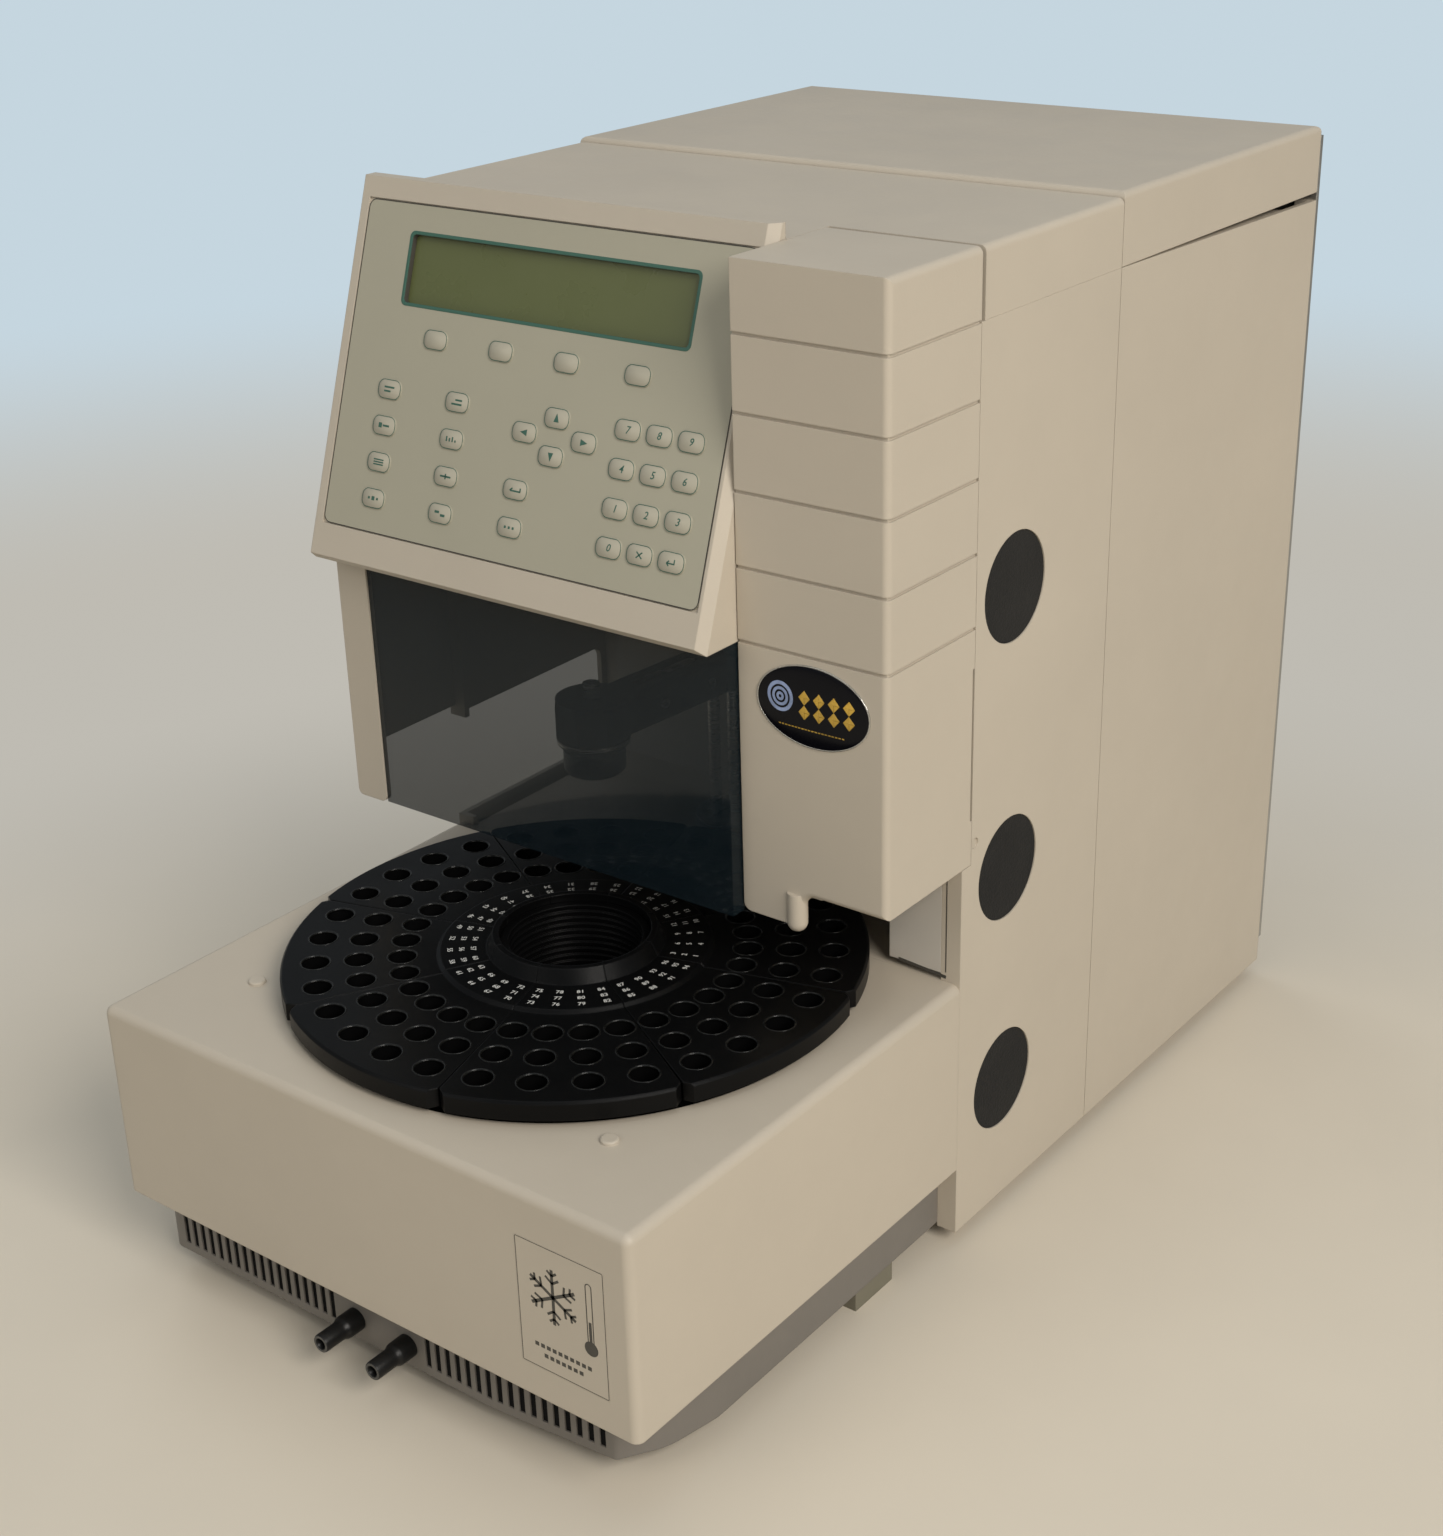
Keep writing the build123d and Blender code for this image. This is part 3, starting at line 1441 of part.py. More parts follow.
def make_main_board():
    y = (bulkhead_back, board_end_depth)
    z = (board_bottom, board_top)
    board = block((board_x, board_x + board_thickness), y, z)
    chip_shares = (
        (0.12, 0.10, 0.20, 0.14),
        (0.40, 0.12, 0.22, 0.10),
        (0.15, 0.45, 0.30, 0.20),
        (0.60, 0.60, 0.25, 0.22),
    )
    for start_y, start_z, size_y, size_z in chip_shares:
        length, height = y[1] - y[0], z[1] - z[0]
        chip_y = (y[0] + start_y * length, y[0] + (start_y + size_y) * length)
        chip_z = (z[0] + start_z * height, z[0] + (start_z + size_z) * height)
        board += block((board_x + board_thickness, board_x + board_thickness + chip_height), chip_y, chip_z)
    return board


def make_rear_panel():
    y = (body_depth, rear_face_depth)
    panel = block((-half_width, half_width), y, (rear_panel_bottom, rear_panel_top))
    through = (y[0] - overrun, y[1] + overrun)
    steps = int(fan_bore_radius // grille_hole_pitch)
    holes = []
    for column in range(-steps, steps + 1):
        for row in range(-steps, steps + 1):
            x, z = column * grille_hole_pitch, row * grille_hole_pitch
            if hypot(x, z) < fan_bore_radius - grille_hole_radius:
                holes.append(lengthwise(rear_fan_x + x, through, rear_fan_height + z, grille_hole_radius))
    inlet = (inlet_size[0] - skin * 2, inlet_size[1] - skin * 2)
    holes.append(block(around(inlet_x, inlet[0]), through, around(inlet_height, inlet[1])))
    for height in connector_heights:
        opening = (connector_size[0] - skin * 2, connector_size[1] - skin)
        holes.append(block(around(connector_x, opening[0]), through, around(height, opening[1])))
    for x in screw_places():
        for height in screw_heights:
            holes.append(lengthwise(x, through, height, screw_hole_radius))
    return panel - holes


def screw_places():
    x = half_base + (panel_inner - half_base) / 2
    return -x, x


def make_screws():
    screws = []
    for x in screw_places():
        for height in screw_heights:
            head = (rear_face_depth, rear_face_depth + screw_head_height)
            screw = lengthwise(x, head, height, screw_head_radius)
            screw += lengthwise(x, (body_depth - skin, rear_face_depth), height, screw_radius)
            screws.append(screw)
    return screws


rocker_y = rear_face_depth + inlet_flange


def make_inlet():
    flange = (rear_face_depth, rocker_y)
    inlet = block(around(inlet_x, inlet_size[0]), flange, around(inlet_height, inlet_size[1]))
    body = (inlet_size[0] - skin * 2 - running_gap, inlet_size[1] - skin * 2 - running_gap)
    body_y = (rear_face_depth - inlet_body_length, rear_face_depth)
    inlet += block(around(inlet_x, body[0]), body_y, around(inlet_height, body[1]))
    socket_y = (rocker_y - socket_depth, rocker_y + overrun)
    socket_x = around(inlet_x + socket_offset, socket_size[0])
    inlet -= block(socket_x, socket_y, around(inlet_height, socket_size[1]))
    hole_y = (rocker_y - rocker_depth - running_gap, rocker_y + overrun)
    clear = (rocker_size[0] + rocker_gap * 2, rocker_size[1] + rocker_gap * 2)
    inlet -= block(around(inlet_x + rocker_offset, clear[0]), hole_y, around(inlet_height, clear[1]))
    pin_x = around(inlet_x + rocker_offset, clear[0] + rocker_pin_radius * 2)
    pin_y = rocker_y - rocker_depth / 2
    return inlet - crosswise(pin_x, pin_y, inlet_height, rocker_pin_radius + bearing_gap)


def make_rocker():
    """Two faces that meet at a shallow ridge, on a cross pin, at rest with one end pressed."""
    half = rocker_size[1] / 2
    tip = half * sin(radians(rocker_swing))
    low = rocker_y - rocker_depth + tip
    front = rocker_y - running_gap
    outline = (
        (low + tip, inlet_height - half),
        (front - tip, inlet_height - half),
        (front, inlet_height),
        (front - tip * 2, inlet_height + half),
        (low, inlet_height + half),
    )
    x = around(inlet_x + rocker_offset, rocker_size[0])
    rocker = side_profile(outline, x)
    pin_x = around(inlet_x + rocker_offset, rocker_size[0] + rocker_pin_radius * 2)
    return rocker + crosswise(pin_x, rocker_y - rocker_depth / 2, inlet_height, rocker_pin_radius)


def make_connectors():
    connectors = []
    for height in connector_heights:
        flange = (rear_face_depth, rear_reach_depth)
        piece = block(around(connector_x, connector_size[0]), flange, around(height, connector_size[1]))
        body = (connector_size[0] - skin * 2 - running_gap, connector_size[1] - skin - running_gap)
        body_y = (rear_face_depth - connector_body_length, rear_face_depth)
        piece += block(around(connector_x, body[0]), body_y, around(height, body[1]))
        slot_y = (rear_reach_depth - connector_slot_depth, rear_reach_depth + overrun)
        slot_x, slot_z = around(connector_x, connector_slot[0]), around(height, connector_slot[1])
        connectors.append(piece - block(slot_x, slot_y, slot_z))
    return connectors


def main():
    os.makedirs("parts", exist_ok=True)
    save("base_pan", make_base())
    save("bench_feet", *make_feet())
    save("hose_nozzles", *make_nozzles())
    save("tray_housing", make_housing())
    save("deck_plate", make_deck())
    save("cooling_well", make_well())
    save("well_foam", make_foam())
    save("well_stand", make_stand())
    save("spindle_bearing", make_bearing())
    save("cooling_modules", *make_modules())
    save("heat_sink", make_sink())
    save("fan_frames", cooling_fan_place * fan_frame(), rear_fan_place * fan_frame())
    save("cooling_fan_rotor", cooling_fan_place * fan_rotor())
    save("vial_segments", *make_segments())
    save("turntable", make_turntable())
    save("spindle_gear", make_spindle())
    save("tray_pinion", make_pinion())
    save("tray_motor", make_tray_motor())
    save("swing_motor", make_swing_motor())
    save("needle_tower", make_tower())
    save("lift_screw", make_lift_screw())
    save("lift_motor", make_lift_motor())
    save("needle_arm", make_arm())
    save("needle", make_needle())
    save("needle_foot", make_needle_foot())
    save("foot_spring", make_foot_spring())
    save("wash_port", make_port())
    save("keypad_head", make_head())
    save("keypad_membrane", make_membrane())
    save("display_module", make_display())
    save("keypad_board", make_keypad_board())
    save("left_cheek", make_cheek())
    save("front_window", make_window())
    save("right_front_panel", make_right_front_panel())
    save("left_front_panel", make_left_front_panel())
    save("right_rear_panel", make_rear_side_panel(1))
    save("left_rear_panel", make_rear_side_panel(-1))
    save("vent_discs", *make_vent_discs())
    save("front_top_cover", make_front_cover())
    save("rear_lid", make_lid())
    save("column_cover", make_column_cover())
    save("column_plate", make_column_plate())
    save("syringe_barrel", make_barrel())
    save("syringe_plunger", make_plunger())
    save("syringe_screw", make_pump_screw())
    save("syringe_motor", make_pump_motor())
    save("selector_body", make_selector_body())
    save("selector_rotor", make_selector_rotor())
    save("valve_stator", make_stator())
    save("valve_rotor", make_rotor())
    save("valve_motors", make_selector_motor(), make_valve_motor())
    save("bulkhead", make_bulkhead())
    save("power_supply", make_supply())
    save("main_board", make_main_board())
    save("rear_panel", make_rear_panel())
    save("rear_fan_rotor", rear_fan_place * fan_rotor())
    save("power_inlet", make_inlet())
    save("power_rocker", make_rocker())
    save("signal_connectors", *make_connectors())
    save("panel_screws", *make_screws())


main()
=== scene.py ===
"""Looks for the bench autosampler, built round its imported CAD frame."""
from math import cos, hypot, pi, radians, sin

import bmesh
import bpy
from mathutils import Matrix, Vector


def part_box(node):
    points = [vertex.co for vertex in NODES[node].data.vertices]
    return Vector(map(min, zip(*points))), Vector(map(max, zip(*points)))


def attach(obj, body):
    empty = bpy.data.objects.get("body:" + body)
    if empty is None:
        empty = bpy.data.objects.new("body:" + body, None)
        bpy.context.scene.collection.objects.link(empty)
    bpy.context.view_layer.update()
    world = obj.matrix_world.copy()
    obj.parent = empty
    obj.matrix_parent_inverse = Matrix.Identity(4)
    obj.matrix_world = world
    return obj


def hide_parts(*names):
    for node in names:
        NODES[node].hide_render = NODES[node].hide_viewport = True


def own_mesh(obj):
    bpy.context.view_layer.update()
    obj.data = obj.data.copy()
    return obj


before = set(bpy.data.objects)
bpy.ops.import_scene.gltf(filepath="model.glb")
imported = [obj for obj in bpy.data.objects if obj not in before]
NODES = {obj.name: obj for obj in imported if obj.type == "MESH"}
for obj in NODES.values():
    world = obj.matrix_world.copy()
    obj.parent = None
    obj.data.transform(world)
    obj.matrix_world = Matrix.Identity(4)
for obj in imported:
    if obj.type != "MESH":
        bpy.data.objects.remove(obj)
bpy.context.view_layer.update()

MM = 0.001
DEPTH_ORIGIN = 271.0


# Places. The part's own drawing counts depth d from the tray housing's front, in millimetres.

def at(x, d, z):
    return Vector((x, d - DEPTH_ORIGIN, z)) * MM


FACE_TILT = radians(18.9)
FACE_TOP_DEPTH = 203.0
FACE_TOP_HEIGHT = 467.0


def on_face(x, down, out=0.0):
    """A point of the keypad's sloping face: down from its top edge, out from its surface."""
    depth = FACE_TOP_DEPTH - down * sin(FACE_TILT) - out * cos(FACE_TILT)
    height = FACE_TOP_HEIGHT - down * cos(FACE_TILT) + out * sin(FACE_TILT)
    return at(x, depth, height)


# Camera, as fitted to the photograph.

CAMERA_PLACE = Vector((0.6149, -0.8021, 0.6455))
CAMERA_AZIMUTH = radians(38.01)
CAMERA_DROP = radians(24.26)
CAMERA_ROLL = radians(1.63)
CAMERA_LENS = 54.28
CAMERA_SENSOR = 36.0
CAMERA_CLIP = (0.01, 50.0)


def add_camera():
    forward = Vector((
        -sin(CAMERA_AZIMUTH) * cos(CAMERA_DROP),
        cos(CAMERA_AZIMUTH) * cos(CAMERA_DROP),
        -sin(CAMERA_DROP),
    ))
    right = forward.cross(Vector((0, 0, 1))).normalized()
    down = forward.cross(right)
    c, s = cos(CAMERA_ROLL), sin(CAMERA_ROLL)
    image_x = c * right + s * down
    image_y = c * down - s * right
    data = bpy.data.cameras.new("camera")
    data.lens = CAMERA_LENS
    data.sensor_width = CAMERA_SENSOR
    data.sensor_fit = "AUTO"
    data.clip_start, data.clip_end = CAMERA_CLIP
    camera = bpy.data.objects.new("camera", data)
    axes = Matrix((image_x, -image_y, -forward)).transposed()
    camera.matrix_world = Matrix.Translation(CAMERA_PLACE) @ axes.to_4x4()
    bpy.context.scene.collection.objects.link(camera)
    bpy.context.scene.camera = camera


add_camera()


# Light and stage.

# Each lamp: name, place, target, its two sides in metres, power, colour, and whether gloss shows it.
LAMPS = (
    ("key", (2.1, -0.9, 1.7), (0.05, 0.0, 0.25), (1.3, 1.3), 52.0, (1.0, 0.955, 0.89), True),
    ("front", (-0.7, -2.2, 1.5), (0.0, 0.0, 0.2), (1.4, 1.0), 7.0, (1.0, 0.96, 0.90), True),
    ("top", (0.1, 0.1, 2.3), (0.0, 0.0, 0.2), (1.6, 1.6), 7.0, (0.90, 0.96, 1.0), True),
    ("left", (-2.3, 1.1, 1.5), (0.0, 0.0, 0.1), (1.6, 1.2), 13.0, (0.94, 0.97, 1.0), False),
)


def add_lamp(name, place, target, size, power, colour, glossy):
    data = bpy.data.lights.new(name, "AREA")
    data.shape = "RECTANGLE"
    data.size, data.size_y = size
    data.energy = power
    data.color = colour
    lamp = bpy.data.objects.new(name, data)
    lamp.location = place
    lamp.rotation_euler = (Vector(target) - Vector(place)).to_track_quat("-Z", "Y").to_euler()
    lamp.visible_glossy = glossy
    bpy.context.scene.collection.objects.link(lamp)


def node_maker(tree):
    """Short way to add a node: its type, settings and inputs.

    An input is a value or another socket. Its key is its name, or an underscore and its number."""
    def make(kind, settings=None, **inputs):
        node = tree.nodes.new(kind)
        for key, value in (settings or {}).items():
            setattr(node, key, value)
        for key, value in inputs.items():
            socket = node.inputs[int(key[1:]) if key[0] == "_" else key.replace("_", " ")]
            if isinstance(value, bpy.types.NodeSocket):
                tree.links.new(value, socket)
            else:
                socket.default_value = value
        return node
    return make


WORLD_COLOUR = (0.88, 0.95, 1.0, 1.0)
WORLD_STRENGTH = 0.27
BACKDROP_COLOUR = (0.56, 0.67, 0.74, 1.0)
FAR_FLOOR_COLOUR = (0.52, 0.50, 0.45, 1.0)


def seen_directly(make):
    path = make("ShaderNodeLightPath")
    seen = make("ShaderNodeMath", {"operation": "MAXIMUM"}, _0=path.outputs["Is Camera Ray"],
                _1=path.outputs["Is Transmission Ray"])
    return seen.outputs[0]


def add_world():
    world = bpy.data.worlds.new("studio")
    world.use_nodes = True
    tree = world.node_tree
    tree.nodes.clear()
    make = node_maker(tree)
    seen = seen_directly(make)
    light = make("ShaderNodeBackground", Color=WORLD_COLOUR, Strength=WORLD_STRENGTH)
    shown = make("ShaderNodeBackground", Color=BACKDROP_COLOUR, Strength=1.0)
    mix = make("ShaderNodeMixShader", _0=seen, _1=light.outputs[0], _2=shown.outputs[0])
    out = make("ShaderNodeOutputWorld")
    tree.links.new(mix.outputs[0], out.inputs["Surface"])
    bpy.context.scene.world = world


bpy.context.scene.view_settings.view_transform = "Standard"
add_world()
for lamp in LAMPS:
    add_lamp(*lamp)


# Materials. Each has its own grain, mottling and worn edges, in object space.

def finish_material(tree, make, base, roughness, normal, **sockets):
    shader = make("ShaderNodeBsdfPrincipled", Base_Color=base, Roughness=roughness, Normal=normal)
    for key, value in sockets.items():
        shader.inputs[key.replace("_", " ")].default_value = value
    out = make("ShaderNodeOutputMaterial")
    tree.links.new(shader.outputs[0], out.inputs["Surface"])


def new_tree(name):
    made = bpy.data.materials.new(name)
    made.use_nodes = True
    made.node_tree.nodes.clear()
    return made, made.node_tree, node_maker(made.node_tree)


def scaled(colour, factor):
    return tuple(min(1.0, c * factor) for c in colour[:3]) + (1.0,)


MOTTLE_SPAN = (0.32, 0.68)
MOTTLE_DETAIL = 4.0
MOTTLE_ROUGHNESS = 0.6
GRAIN_DETAIL = 2.0
GRAIN_ROUGHNESS = 0.55
EDGE_SAMPLES = 4
WEAR_SPAN = (0.99, 0.75)
WEAR_SHARE = 0.7
SMEAR_SCALE = 5
SMEAR_DETAIL = 3.0
SMEAR_ROUGHNESS = 0.6
SMEAR_SPAN = (0.3, 0.7)


def mottled(make, place, colour, mottle, scale):
    """A colour that drifts a little lighter and darker over the piece."""
    cloud = make("ShaderNodeTexNoise", Vector=place, Scale=scale, Detail=MOTTLE_DETAIL,
                 Roughness=MOTTLE_ROUGHNESS)
    colours = make("ShaderNodeValToRGB", Fac=cloud.outputs["Fac"])
    shades = (scaled(colour, 1.0 - mottle), scaled(colour, 1.0 + mottle))
    for element, position, shade in zip(colours.color_ramp.elements, MOTTLE_SPAN, shades):
        element.position = position
        element.color = shade
    return colours.outputs["Color"]


def surface(name, colour, roughness, mottle=0.05, mottle_scale=9.0, grain=900.0, grain_depth=0.00004,
            rough_change=0.06, edge=0.0006, wear=1.12, stretch=(1, 1, 1), **sockets):
    """A hard surface: mottled colour, a grain in the bump, varied gloss, softened and worn edges."""
    made, tree, make = new_tree(name)
    place = make("ShaderNodeTexCoord").outputs["Object"]
    place = make("ShaderNodeMapping", Vector=place, Scale=stretch).outputs[0]
    base = mottled(make, place, colour, mottle, mottle_scale)
    fine = make("ShaderNodeTexNoise", Vector=place, Scale=grain, Detail=GRAIN_DETAIL,
                Roughness=GRAIN_ROUGHNESS)
    rounded = make("ShaderNodeBevel", {"samples": EDGE_SAMPLES}, Radius=edge)
    flat = make("ShaderNodeNewGeometry").outputs["Normal"]
    agree = make("ShaderNodeVectorMath", {"operation": "DOT_PRODUCT"}, _0=rounded.outputs[0], _1=flat)
    worn = make("ShaderNodeMapRange", Value=agree.outputs["Value"], From_Min=WEAR_SPAN[0],
                From_Max=WEAR_SPAN[1], To_Min=0.0, To_Max=WEAR_SHARE)
    base = make("ShaderNodeMix", {"data_type": "RGBA"}, _0=worn.outputs[0], _6=base,
                _7=scaled(colour, wear)).outputs[2]
    smears = make("ShaderNodeTexNoise", Vector=place, Scale=mottle_scale * SMEAR_SCALE, Detail=SMEAR_DETAIL,
                  Roughness=SMEAR_ROUGHNESS)
    rough = make("ShaderNodeMapRange", Value=smears.outputs["Fac"], From_Min=SMEAR_SPAN[0],
                 From_Max=SMEAR_SPAN[1], To_Min=roughness - rough_change, To_Max=roughness + rough_change)
    bump = make("ShaderNodeBump", Strength=1.0, Distance=grain_depth, Height=fine.outputs["Fac"],
                Normal=rounded.outputs[0])
    finish_material(tree, make, base, rough.outputs[0], bump.outputs[0], **sockets)
    return made


HAZE_SCALE = 14.0
HAZE_DETAIL = 5.0
HAZE_ROUGHNESS = 0.65
HAZE_SPAN = (0.35, 0.7)
HAZE_DULLING = 2.5
HAZE_TINTS = (0.8, 1.2)
CLEAR_SPECULAR = 0.3


def clear_surface(name, colour, roughness, cover):
    """A see-through surface with a faint haze of finger marks in its gloss."""
    made, tree, make = new_tree(name)
    place = make("ShaderNodeTexCoord").outputs["Object"]
    haze = make("ShaderNodeTexNoise", Vector=place, Scale=HAZE_SCALE, Detail=HAZE_DETAIL,
                Roughness=HAZE_ROUGHNESS)
    rough = make("ShaderNodeMapRange", Value=haze.outputs["Fac"], From_Min=HAZE_SPAN[0],
                 From_Max=HAZE_SPAN[1], To_Min=roughness, To_Max=roughness * HAZE_DULLING)
    tint = make("ShaderNodeMix", {"data_type": "RGBA"}, _0=haze.outputs["Fac"],
                _6=scaled(colour, HAZE_TINTS[0]), _7=scaled(colour, HAZE_TINTS[1])).outputs[2]
    flat = make("ShaderNodeNewGeometry").outputs["Normal"]
    finish_material(tree, make, tint, rough.outputs[0], flat, Alpha=cover, Specular_IOR_Level=CLEAR_SPECULAR)
    return made


SHELL = (0.525, 0.462, 0.373)
M = {
    "beige_shell": surface("beige_shell", SHELL, 0.46, mottle=0.025, grain=1100.0, grain_depth=0.00003),
    "beige_moulding": surface("beige_moulding", SHELL, 0.5, mottle=0.025, grain=800.0, grain_depth=0.00004),
    "base_grey": surface("base_grey", (0.182, 0.165, 0.145), 0.5, mottle=0.05, grain=900.0),
    "overlay": surface("overlay", (0.41, 0.385, 0.295), 0.42, mottle=0.02, grain=1500.0, grain_depth=0.00001),
    "display": surface("display", (0.118, 0.134, 0.050), 0.3, mottle=0.015, grain=400.0, grain_depth=0.00001),
    "smoked_window": clear_surface("smoked_window", (0.010, 0.017, 0.022), 0.03, 0.62),
    "tray_black": surface("tray_black", (0.0030, 0.0030, 0.0031), 0.34, mottle=0.2, grain=1400.0, edge=0.0009,
                          wear=4.0, Specular_IOR_Level=0.14),
    "mechanism_black": surface("mechanism_black", (0.010, 0.0095, 0.009), 0.4, mottle=0.2, wear=3.0),
    "vent_foam": surface("vent_foam", (0.009, 0.0083, 0.0072), 0.9, mottle=0.3, grain=900.0,
                         grain_depth=0.0006),
    "motor": surface("motor", (0.02, 0.02, 0.02), 0.4, mottle=0.1, wear=2.0),
    "steel": surface("steel", (0.56, 0.55, 0.53), 0.28, mottle=0.05, grain=600.0, stretch=(1, 1, 12),
                     Metallic=1.0),
    "aluminium": surface("aluminium", (0.62, 0.62, 0.61), 0.36, mottle=0.05, grain=700.0, stretch=(1, 8, 1),
                         Metallic=1.0),
    "sheet_steel": surface("sheet_steel", (0.50, 0.50, 0.48), 0.42, mottle=0.1, mottle_scale=40.0,
                           Metallic=1.0),
    "grey_sheet": surface("grey_sheet", (0.55, 0.51, 0.45), 0.45, mottle=0.04),
    "rubber": surface("rubber", (0.18, 0.165, 0.12), 0.75, mottle=0.08, grain=700.0, wear=1.3),
    "white_polymer": surface("white_polymer", (0.72, 0.71, 0.67), 0.35, mottle=0.02),
    "insulation": surface("insulation", (0.10, 0.10, 0.10), 0.9, mottle=0.15, grain=300.0,
                          grain_depth=0.0004),
    "barrel_glass": clear_surface("barrel_glass", (0.75, 0.80, 0.80), 0.05, 0.35),
    "board_green": surface("board_green", (0.02, 0.12, 0.05), 0.35, mottle=0.1),
    "connector_black": surface("connector_black", (0.007, 0.007, 0.007), 0.38, mottle=0.15, wear=3.0,
                               Specular_IOR_Level=0.3),
}


for node in NODES.values():
    for slot in node.material_slots:
        slot.material = M[slot.material.name.split(".")[0]]


# Each fade of the floor: the distances where it starts and ends, in metres, and the colour it leads to.
FLOOR_FADES = (((0.42, 0.85), FAR_FLOOR_COLOUR), ((1.1, 2.2), BACKDROP_COLOUR))
FADE_CENTRE = (0.12, -0.15, 0.0)
FLOOR_HALF = 6.0


def fade_to_backdrop(material):
    """Further out the floor, as seen directly, keeps an even tone and then passes into the backdrop."""
    tree = material.node_tree
    make = node_maker(tree)
    out = next(node for node in tree.nodes if node.type == "OUTPUT_MATERIAL")
    seen = out.inputs["Surface"].links[0].from_socket
    place = make("ShaderNodeTexCoord").outputs["Object"]
    distance = make("ShaderNodeVectorMath", {"operation": "DISTANCE"}, _0=place, _1=FADE_CENTRE)
    direct = make("ShaderNodeLightPath").outputs["Is Camera Ray"]
    for (start, end), colour in FLOOR_FADES:
        share = make("ShaderNodeMapRange", {"interpolation_type": "SMOOTHSTEP"},
                     Value=distance.outputs["Value"], From_Min=start, From_Max=end)
        share = make("ShaderNodeMath", {"operation": "MULTIPLY"}, _0=share.outputs[0], _1=direct)
        far = make("ShaderNodeEmission", Color=colour, Strength=1.0)
        seen = make("ShaderNodeMixShader", _0=share.outputs[0], _1=seen, _2=far.outputs[0]).outputs[0]
    tree.links.new(seen, out.inputs["Surface"])


def add_floor():
    mesh = bpy.data.meshes.new("floor")
    corners = [(x * FLOOR_HALF, y * FLOOR_HALF, 0) for x, y in ((-1, -1), (1, -1), (1, 1), (-1, 1))]
    mesh.from_pydata(corners, [], [(0, 1, 2, 3)])
    floor = bpy.data.objects.new("floor", mesh)
    bpy.context.scene.collection.objects.link(floor)
    table = surface("floor", (0.70, 0.63, 0.52), 0.55, mottle=0.03, mottle_scale=2.5, grain=500.0,
                    grain_depth=0.00002)
    fade_to_backdrop(table)
    mesh.materials.append(table)


add_floor()


# Forms. Each piece is skinned from rings of points and joined into one mesh.

MERGE_DISTANCE = 1e-7
BEVEL_STEP = 0.3
FIGURE_RESOLUTION = 2
FIGURE_WEIGHT = 0.012
FIGURE_HALF = 0.5


